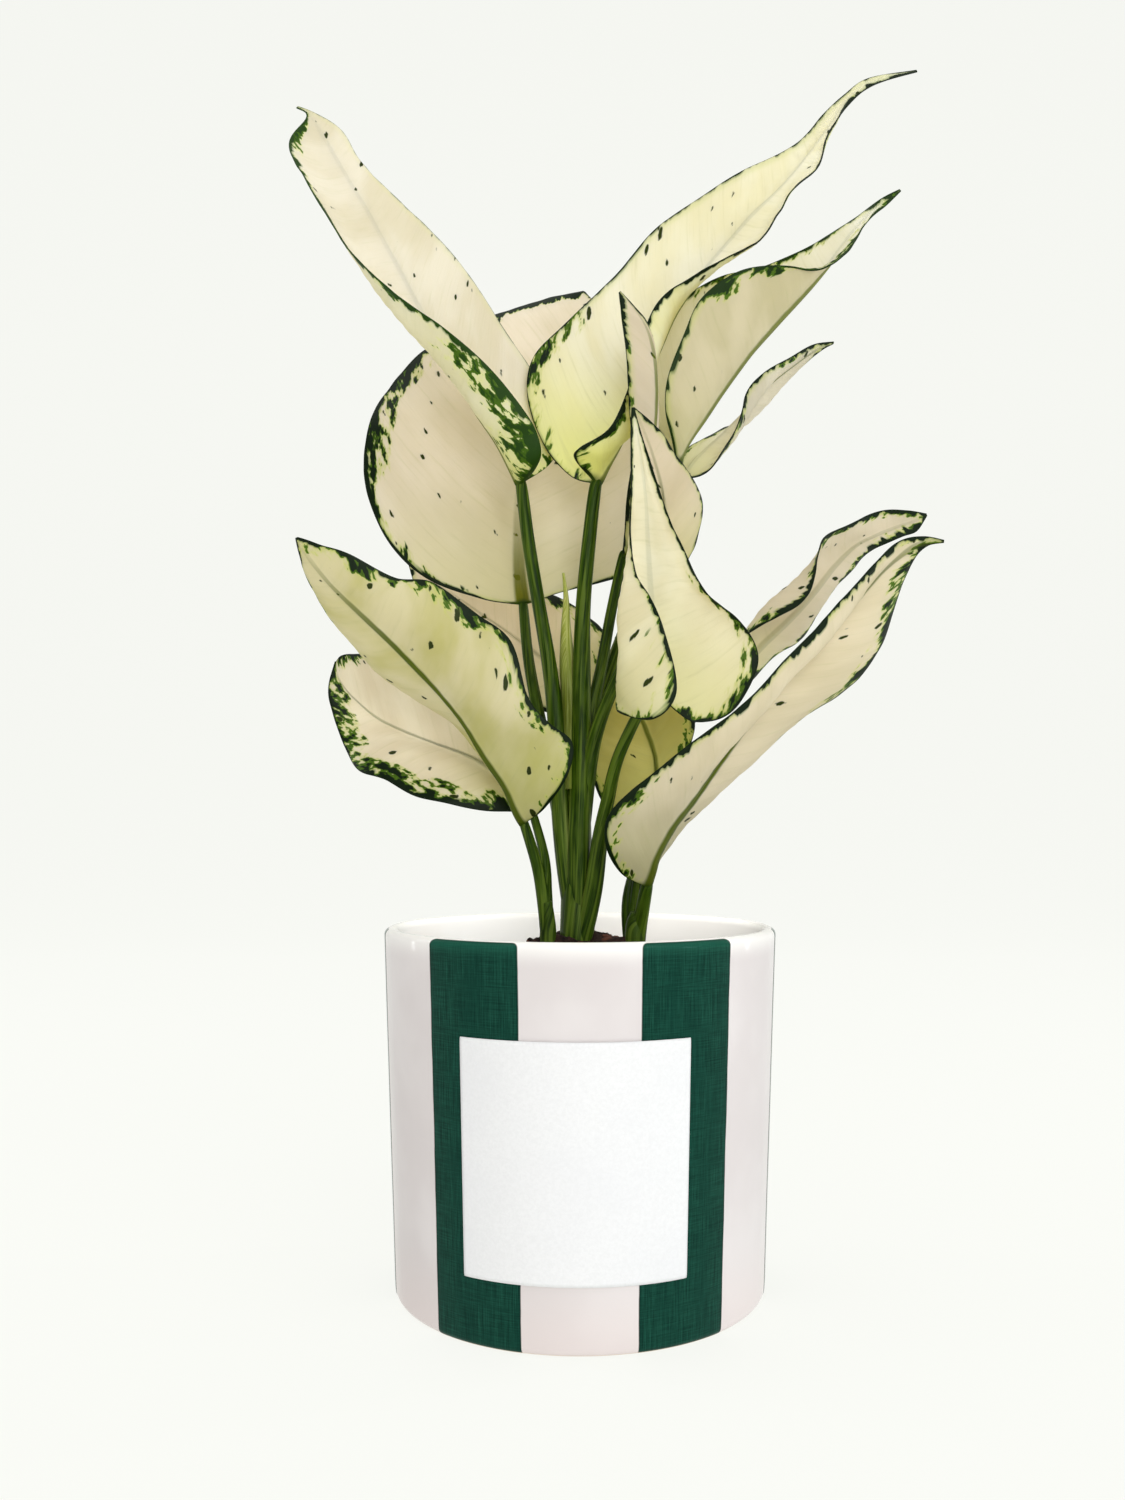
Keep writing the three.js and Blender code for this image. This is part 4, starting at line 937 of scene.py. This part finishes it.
def make_shoot(name, cane, stalks, skin):
    points, faces, places, pales = [], [], [], []

    def add(surface, pale, seed):
        rings, t, travel, around = surface
        faces.extend(tube_faces(*around.shape, start=sum(map(len, points))))
        points.append(rings.reshape(-1, 3))
        place = np.stack([around, travel, np.full(around.shape, seed * 13.7)], axis=2)
        places.append(place.reshape(-1, 3))
        pales.append((pale * np.ones_like(around)).ravel())

    x, front, radius, top, lean, lean_front = cane
    heights = (SOIL_CROWN - STEM_DEPTH, SOIL_CROWN - CANE_BELOW_SOIL, SOIL_CROWN + CANE_ABOVE_SOIL)
    line = [(x, -front, z) for z in heights] + [(x + lean, -front - lean_front, top)]
    radii = [radius, radius, radius, radius * CANE_TOP_TAPER]
    add(stem_points(line, radii, np.array([1.0, 0, 0]), 36, 8, round_shape), 0.1, 1)

    for k, (leaf, (via, radii)) in enumerate(stalks.items()):
        if leaf == "new_leaf":
            path = [seen(point) for point in via]
            rolled = stem_points(path, radii, np.array([0, -1.0, 0]), 48, 14, rolled_shape)
            add(rolled, 0.55 + 1.1 * smooth_step((rolled[1] - 0.25) / 0.6), 20)
            continue
        path = stalk_path(leaf, via)
        radii = list(blend(radii, np.linspace(0, 1, len(path) - 1)))
        radii = radii[:-1] + [radii[-1] * 0.9, radii[-1] * 0.5]
        inward = np.array([x, -front, 0]) - path[-2] * np.array([1, 1, 0])
        inward = unit(inward) + np.array([0, 0, 0.35])
        surface = stem_points(path, radii, inward, 32, 7, stalk_shape)
        add(surface, sheath_edges(surface[1], surface[3]), k + 2)

    fields = {"stem_place": np.concatenate(places), "pale": np.concatenate(pales)}
    return make_piece(name + "_stalks", np.concatenate(points), faces, skin, [name],
                      fields)


def stalk_material():
    n = Nodes("stalk_skin")
    place = n.attribute("stem_place", "Vector")
    strands = n.noise(place, (1.7, 0.05), detail=3, roughness=0.6)
    clouds = n.noise(place, (0.25, 0.06))
    green = n.mix(n.smooth(strands, 0.3, 0.72), (18, 40, 1), (56, 82, 9))
    green = n.mix(n.times(n.smooth(clouds, 0.45, 0.7), 0.45), green, (84, 108, 26))
    streaks = n.noise(place, (0.9, 0.03), detail=1)
    green = n.mix(n.times(n.smooth(streaks, 0.5, 0.62), 0.55), green, (100, 122, 40))
    light = n.mix(n.smooth(strands, 0.35, 0.7), (150, 160, 60), (206, 208, 130))
    colour = n.mix(n.smooth(n.attribute("pale"), 0.0, 1.5), green, light)
    normal = n.bump(strands, 0.0004, 0.5)
    return n.finish(n.principled(colour, 0.4, normal, specular=0.1))


# Pot

def pot_radius(z):
    return POT_BASE_RADIUS + (POT_RIM_RADIUS - POT_BASE_RADIUS) * z / POT_HEIGHT


def make_pot():
    lip = POT_WALL / 2
    foot = POT_FOOT_ROUND
    outer = [(POT_BASE_RADIUS * share, 0) for share in (0.02, 0.4, 0.8)]
    outer += arc(POT_BASE_RADIUS - foot, foot, foot, -90, 0, 6)
    outer += [(pot_radius(z), z) for z in np.linspace(6, POT_HEIGHT - lip - 3, 36)]
    top = arc(pot_radius(POT_HEIGHT - lip) - lip, POT_HEIGHT - lip, lip, 0, 180, 18)
    corner = POT_INNER_FILLET
    heights = np.linspace(POT_HEIGHT - lip - 4, POT_FLOOR + corner, 16)
    inner = [(pot_radius(z) - POT_WALL, z) for z in heights]
    inner += arc(pot_radius(POT_FLOOR + corner) - POT_WALL - corner, POT_FLOOR + corner, corner,
                 0, -90, 6)[1:]
    inner += [(POT_BASE_RADIUS * share, POT_FLOOR) for share in (0.6, 0.02)]
    profile = outer + top + inner
    points = lathe_points(profile, POT_SIDES)

    # Length of the wall from the crest of the rim, outwards positive
    travel = lengths_along(np.array(profile))
    crest = len(outer) + len(top) // 2
    wall = np.repeat(travel[crest] - travel, POT_SIDES)

    # The glaze is thinner between the painted stripes, and the body is a little uneven
    angle = np.tile(np.degrees(np.arange(POT_SIDES) * 2 * math.pi / POT_SIDES), len(profile))
    from_centre = np.abs(angle % (2 * STRIPE_REACH) - STRIPE_REACH)
    stripe = smooth_step((STRIPE_HALF_DEGREES + 0.8 - from_centre) / 1.6)
    stripe = stripe * smooth_step((wall - STRIPE_TOP) / 1.5)
    outward = unit(points * np.array([1, 1, 0]))
    outside = smooth_step((wall + 2) / 4)
    uneven = 0.12 * wander(points, 45, 3) - 0.12
    lift = (stripe - 1) * STRIPE_RELIEF * outside + uneven * outside
    points = points + outward * lift[:, None]
    return make_piece("pot_body", points, tube_faces(len(profile), POT_SIDES), glaze_material(),
                      ["pot"], {"wall": wall})


def glaze_material():
    n = Nodes("striped_glaze")
    place = n.place()
    x, y, z = n.add("ShaderNodeSeparateXYZ", {0: place}).outputs
    wall = n.attribute("wall")

    # Degrees from the middle of the nearest stripe, and millimetres to its edges
    around = n.times(n.math("ARCTAN2", x, n.times(y, -1.0)), 180 / math.pi)
    turned = n.math("WRAP", n.minus(around, STRIPE_REACH), STRIPE_REACH, -STRIPE_REACH)
    wobble = n.noise(place, 60.0, detail=3)
    side = n.times(n.minus(STRIPE_HALF_DEGREES, n.math("ABSOLUTE", turned)),
                  POT_RIM_RADIUS * math.pi / 180)
    side = n.plus(side, n.times(n.minus(wobble, 0.5), 0.7))
    down = n.minus(wall, STRIPE_TOP)

    # Rounded upper corners
    a = n.math("MAXIMUM", n.minus(STRIPE_CORNER, side), 0.0)
    b = n.math("MAXIMUM", n.minus(STRIPE_CORNER, down), 0.0)
    corner = n.math("SQRT", n.plus(n.times(a, a), n.times(b, b)))
    within = n.minus(STRIPE_CORNER, corner)
    painted = n.smooth(within, -0.15, 0.25)

    # Brush marks: fine lines down and across, as on painted cloth, with a painted highlight near the
    # stripes' edges and a painted reflection along their top
    cloth = {0: n.times(around, 1.22), 1: n.times(z, 1000.0)}
    cloth = n.add("ShaderNodeCombineXYZ", cloth).outputs[0]
    down_lines = n.noise(cloth, (2.6, 0.07), detail=4, roughness=0.7)
    cross_lines = n.noise(cloth, (0.09, 2.4), detail=4, roughness=0.7)
    broad = n.noise(cloth, (0.12, 0.03), detail=3)
    brush = n.plus(n.times(down_lines, 0.6), n.times(cross_lines, 0.4))
    green = n.mix(n.smooth(brush, 0.36, 0.68), (2, 42, 34), (26, 80, 65))
    green = n.mix(n.times(n.smooth(broad, 0.4, 0.7), 0.45), green, (6, 54, 44))
    # Painted highlight: the brush marks turn lighter and bluer near the stripes' edges
    brush_highlight = n.times(n.smooth(brush, 0.62, 0.8), n.smooth(within, 6.0, 0.5))
    green = n.mix(n.times(brush_highlight, 0.6), green, (84, 132, 116))
    # Painted reflection: the stripes are lighter within 6 mm of their top, on the rim's rounded shoulder
    green = n.mix(n.times(n.smooth(down, 6.0, 0.5), 0.4), green, (44, 108, 88))
    green = n.mix(n.times(n.smooth(within, 1.3, 0.2), 0.45), green, (2, 34, 28))

    clouds = n.noise(place, 22.0, detail=3)
    white = n.mix(n.smooth(clouds, 0.35, 0.65), (216, 209, 209), (224, 218, 218))
    white = n.mix(n.times(n.smooth(z, 0.03, 0.0), 0.35), white, (230, 213, 209))
    # Painted highlight: the white glaze is whiter within 10 mm of the rim's crest
    white = n.mix(n.smooth(wall, 10.0, 0.0), white, (249, 247, 244))
    specks = n.minus(1.0, n.smooth(n.cells(place, 210.0)[0], 0.02, 0.05))
    rare = n.times(specks, n.smooth(n.noise(place, 75.0), 0.68, 0.74))
    white = n.mix(n.times(rare, 0.5), white, (196, 180, 160))
    colour = n.mix(painted, white, green)
    foot = n.smooth(z, 0.0009, 0.0004)
    bare = n.mix(n.noise(place, 900.0, detail=3), (206, 186, 164), (226, 208, 188))
    colour = n.mix(foot, colour, bare)

    ripple = n.noise(place, 38.0)
    brushed = n.times(brush, painted)
    relief = n.plus(n.times(ripple, 0.6), n.times(brushed, 0.35))
    normal = n.bump(relief, 0.0004, 0.3)
    roughness = n.plus(0.09, n.times(foot, 0.6))
    roughness = n.plus(roughness, n.times(brushed, 0.1))
    return n.finish(n.principled(colour, roughness, normal, specular=0.06))


# Label

def make_label():
    angles = np.radians(np.linspace(LABEL_LEFT, LABEL_RIGHT, 73))
    heights = np.linspace(LABEL_BOTTOM, LABEL_TOP, 61)
    a, z = np.meshgrid(angles, heights)
    share_x = (a - angles[0]) / (angles[-1] - angles[0])
    share_z = (z - LABEL_BOTTOM) / (LABEL_TOP - LABEL_BOTTOM)
    to_corner = np.minimum(share_x, 1 - share_x) + np.minimum(share_z, 1 - share_z)
    base = pot_radius(z) + GAP * 0.5
    front = base + LABEL_THICKNESS * (0.6 + 0.4 * smooth_step(to_corner / 0.02))

    def sheet(radius):
        return np.stack([radius * np.sin(a), -radius * np.cos(a), z], axis=2).reshape(-1, 3)

    points = np.concatenate([sheet(front), sheet(base)])
    return make_piece("label_sheet", points, sheet_faces(*a.shape), paper_material(),
                      ["label"])


def paper_material():
    n = Nodes("label_paper")
    place = n.place()
    fibres = n.noise(place, 900.0, detail=4, roughness=0.7)
    clouds = n.noise(place, 30.0, detail=3)
    colour = n.mix(n.smooth(fibres, 0.3, 0.7), (230, 230, 232), (236, 236, 238))
    colour = n.mix(n.times(n.smooth(clouds, 0.4, 0.7), 0.3), colour, (226, 226, 230))
    normal = n.bump(fibres, 0.00008, 0.4)
    return n.finish(n.principled(colour, 0.55, normal, specular=0.4))


# Grow pot

def grow_radius(z):
    share = (z - GROW_FLOOR) / (GROW_TOP - GROW_FLOOR)
    return GROW_BASE_RADIUS + (GROW_TOP_RADIUS - GROW_BASE_RADIUS) * share


def make_grow_pot():
    floor, base, rim, top = GROW_FLOOR, GROW_BASE_RADIUS, GROW_RIM_RADIUS, GROW_TOP
    lip = top - GROW_LIP_DROP
    inside = floor + GROW_WALL
    profile = [(r, floor) for r in (2, 16, 24, 36, base - 2)] + [(base, floor + 2)]
    profile += [(grow_radius(z), z) for z in np.linspace(floor + 6, lip - 1, 20)]
    profile += [(grow_radius(lip), lip), (rim - 0.4, lip), (rim, lip + 0.5), (rim, top - 1.2)]
    profile += arc(rim - 1, top - 1, 1, 0, 90, 4)
    wall = grow_radius(top) - GROW_WALL
    profile += [(wall + 0.5, top), (wall, top - 0.6)]
    profile += [(grow_radius(z) - GROW_WALL, z) for z in np.linspace(top - 4, inside + 1, 16)]
    profile += [(r, inside) for r in (base - 3, 36, 24, 16, 2)]
    sides = 120
    points, faces = lathe_points(profile, sides), tube_faces(len(profile), sides)
    piece = make_piece("grow_pot_shell", points, faces, plastic_material(),
                       ["grow_pot"])
    for turn in np.arange(DRAIN_HOLES) * 2 * math.pi / DRAIN_HOLES:
        x, y = DRAIN_CIRCLE * math.cos(turn), DRAIN_CIRCLE * math.sin(turn)
        bpy.ops.mesh.primitive_cylinder_add(
            vertices=32, radius=DRAIN_RADIUS * MM, depth=5 * MM,
            location=(x * MM, y * MM, (floor + GROW_WALL / 2) * MM))
        drill = bpy.context.object
        cut = piece.modifiers.new("drain_hole", "BOOLEAN")
        cut.operation = "DIFFERENCE"
        cut.object = drill
        bpy.context.view_layer.objects.active = piece
        bpy.ops.object.modifier_apply(modifier=cut.name)
        bpy.data.objects.remove(drill)
    return piece


def plastic_material():
    n = Nodes("grow_pot_plastic")
    place = n.place()
    clouds = n.noise(place, 55.0, detail=3)
    grain = n.noise(place, 1400.0)
    dust = n.smooth(n.noise(place, 140.0, detail=4), 0.52, 0.75)
    colour = n.mix(n.smooth(clouds, 0.3, 0.7), (46, 36, 32), (64, 50, 43))
    colour = n.mix(n.times(dust, 0.4), colour, (96, 80, 66))
    return n.finish(n.principled(colour, 0.5, n.bump(grain, 0.00006, 0.4)))


# Soil

def soil_height(x, y):
    """A low mound, heaped up a little at the sides and the back of the canes."""
    share = np.minimum(1, np.hypot(x, y) / 54)
    heap = 0
    for side, front, radius in CANES:
        away = np.maximum(0, np.hypot(x - side, y + front) - radius)
        behind = smooth_step((y + front + radius) / radius)
        heap = np.maximum(heap, SOIL_HEAP * behind * np.exp(-(away / SOIL_HEAP_REACH) ** 2))
    return SOIL_EDGE + (SOIL_CROWN - SOIL_EDGE) * (1 - share * share) - 1 + heap


def soil_radius(z):
    return grow_radius(z) - GROW_WALL - 0.4


def make_soil(skin):
    floor = GROW_FLOOR + GROW_WALL + GAP
    sides = 180
    rings = [(soil_radius(floor + 1) * share, floor) for share in (0.03, 0.5, 0.97)]
    rings += [(soil_radius(z), z) for z in np.linspace(floor + 1, SOIL_EDGE - 2, 14)]
    under = len(rings) * sides
    rings += [(r, SOIL_EDGE) for r in np.linspace(soil_radius(SOIL_EDGE), 0.4, 60)]
    points = lathe_points(rings, sides)
    points[under:, 2] = soil_height(points[under:, 0], points[under:, 1])
    lumps = sum(height * wander(points, scale, seed)
                for height, scale, seed in ((1.1, 9, 60), (0.7, 3.5, 61), (0.4, 1.6, 62)))
    top = smooth_step((points[:, 2] - SOIL_EDGE + 3) / 3)
    inside = smooth_step((55 - np.hypot(points[:, 0], points[:, 1])) / 4)
    points[:, 2] += lumps * top * inside
    make_piece("soil_bed", points, tube_faces(len(rings), sides), skin, ["soil"])


def make_soil_bits(name, count, sizes, flat, kind, draw, skin):
    """Crumbs, bark or pale grains, lying on the bed round the canes."""
    ball_points, ball_faces = ball()
    points, faces, kinds = [], [], []
    while count:
        turn, share = draw.uniform(0, 2 * math.pi), math.sqrt(draw.random())
        x, y = 53 * share * math.cos(turn), 53 * share * math.sin(turn)
        if any(math.hypot(x - side, y + front) < radius + 2.5 for side, front, radius in CANES):
            continue
        size = draw.uniform(*sizes)
        tilt = draw.uniform(-0.5, 0.5), draw.uniform(-0.5, 0.5), draw.uniform(0, 6.3)
        spin = Euler(tilt).to_matrix()
        start = len(points)
        for corner in ball_points:
            rough = 1 + 0.35 * noise.noise(Vector(corner) * 1.3 + Vector((count, start, 0)))
            local = Vector((corner[0] * 1.5, corner[1], corner[2] * flat)) * size * 0.5 * rough
            local = spin @ local
            height = soil_height(x, y) + size * 0.12
            points.append((x + local.x, y + local.y, height + local.z))
        faces += [tuple(start + k for k in face) for face in ball_faces]
        kinds += [kind + draw.uniform(-0.15, 0.15)] * len(ball_points)
        count -= 1
    make_piece(name, points, faces, skin, (), {"kind": kinds})


def ball():
    """The points and faces of a small round mesh of eighty triangles."""
    bpy.ops.mesh.primitive_ico_sphere_add(subdivisions=2, radius=1)
    made = bpy.context.object
    points = [tuple(v.co) for v in made.data.vertices]
    faces = [tuple(p.vertices) for p in made.data.polygons]
    bpy.data.objects.remove(made)
    return points, faces


def soil_material():
    n = Nodes("potting_soil")
    place = n.place()
    kind = n.attribute("kind")
    crumbs = n.noise(place, 420.0, detail=5, roughness=0.7)
    cells = n.cells(place, 500.0)[0]
    colour = n.mix(n.smooth(crumbs, 0.35, 0.7), (27, 17, 14), (66, 43, 34))
    colour = n.mix(n.times(n.smooth(cells, 0.3, 0.8), 0.35), colour, (20, 13, 11))
    bark = n.mix(crumbs, (70, 38, 30), (112, 70, 50))
    colour = n.mix(n.smooth(kind, 0.45, 0.6), colour, bark)
    colour = n.mix(n.smooth(kind, 1.05, 1.15), colour, (206, 198, 182))
    normal = n.bump(n.plus(crumbs, n.times(cells, 0.5)), 0.0012, 0.8)
    return n.finish(n.principled(colour, 0.92, normal, specular=0.25))


# Stage: floor, lights and camera

def make_stage():
    """A floor that curves up into a wall behind the plant."""
    depth, bend, height = 2.2, 1.1, 2.6
    profile = [(-3.0, 0.0), (depth - bend, 0.0)]
    profile += [(depth - bend + bend * math.sin(a), bend - bend * math.cos(a))
                for a in np.linspace(0.1, math.pi / 2, 16)]
    profile += [(depth, height + bend)]
    points = [(x, y, z) for y, z in profile for x in (-4, 4)]
    faces = [(2 * k, 2 * k + 1, 2 * k + 3, 2 * k + 2) for k in range(len(profile) - 1)]
    mesh = bpy.data.meshes.new("floor")
    mesh.from_pydata(points, [], faces)
    mesh.shade_smooth()
    n = Nodes("pale_floor")
    paint = n.principled(rgb(*FLOOR_COLOUR), 0.9, specular=0.1)
    glow = {"Color": rgb(*FLOOR_GLOW), "Strength": FLOOR_GLOW_STRENGTH}
    glow = n.add("ShaderNodeEmission", glow).outputs[0]
    mesh.materials.append(n.finish(n.add("ShaderNodeAddShader", {0: paint, 1: glow}).outputs[0]))
    floor = add_object("floor", mesh)


def make_light(name, place, size, watts, colour, target):
    data = bpy.data.lights.new(name, "AREA")
    data.shape = "RECTANGLE"
    data.size, data.size_y = size
    data.energy = watts
    data.color = colour
    lamp = add_object(name, data)
    lamp.location = place
    lamp.rotation_euler = (Vector(target) - Vector(place)).to_track_quat("-Z", "Y").to_euler()


def make_world():
    """Soft light from all round; what shows past the floor's edge is as pale as the floor."""
    world = bpy.data.worlds.new("studio")
    bpy.context.scene.world = world
    world.use_nodes = True
    tree = world.node_tree
    sky = tree.nodes["Background"]
    sky.inputs["Color"].default_value = rgb(*SKY_COLOUR)
    sky.inputs["Strength"].default_value = SKY_STRENGTH
    wall = tree.nodes.new("ShaderNodeBackground")
    wall.inputs["Color"].default_value = rgb(*FLOOR_GLOW)
    both = tree.nodes.new("ShaderNodeMixShader")
    tree.links.new(tree.nodes.new("ShaderNodeLightPath").outputs["Is Camera Ray"], both.inputs[0])
    tree.links.new(sky.outputs[0], both.inputs[1])
    tree.links.new(wall.outputs[0], both.inputs[2])
    tree.links.new(both.outputs[0], tree.nodes["World Output"].inputs["Surface"])
    bpy.context.scene.view_settings.view_transform = "Standard"


def make_camera():
    data = bpy.data.cameras.new("camera")
    data.sensor_width = SENSOR
    data.lens = SENSOR * FOCAL_SHARE
    data.shift_x = -AXIS_RIGHT_OF_CENTRE
    data.shift_y = AXIS_BELOW_CENTRE
    data.clip_start = 0.01
    camera = add_object("camera", data)
    camera.location = (0, -EYE_DISTANCE * MM, EYE_HEIGHT * MM)
    camera.rotation_euler = (math.pi / 2, 0, 0)
    bpy.context.scene.camera = camera


# The whole scene

make_camera()
make_world()
make_stage()
for light in LIGHTS:
    make_light(*light)

stalk_skin = stalk_material()
for shoot_name, shoot in SHOOTS.items():
    make_shoot(shoot_name, *shoot, stalk_skin)
for number, (leaf_name, leaf) in enumerate(LEAVES.items()):
    make_leaf(leaf_name, leaf, number + 1)
make_pot()
make_label()
make_grow_pot()
soil_skin = soil_material()
make_soil(soil_skin)
bits_draw = random.Random(7)
for bits in SOIL_BITS:
    make_soil_bits(*bits, bits_draw, soil_skin)
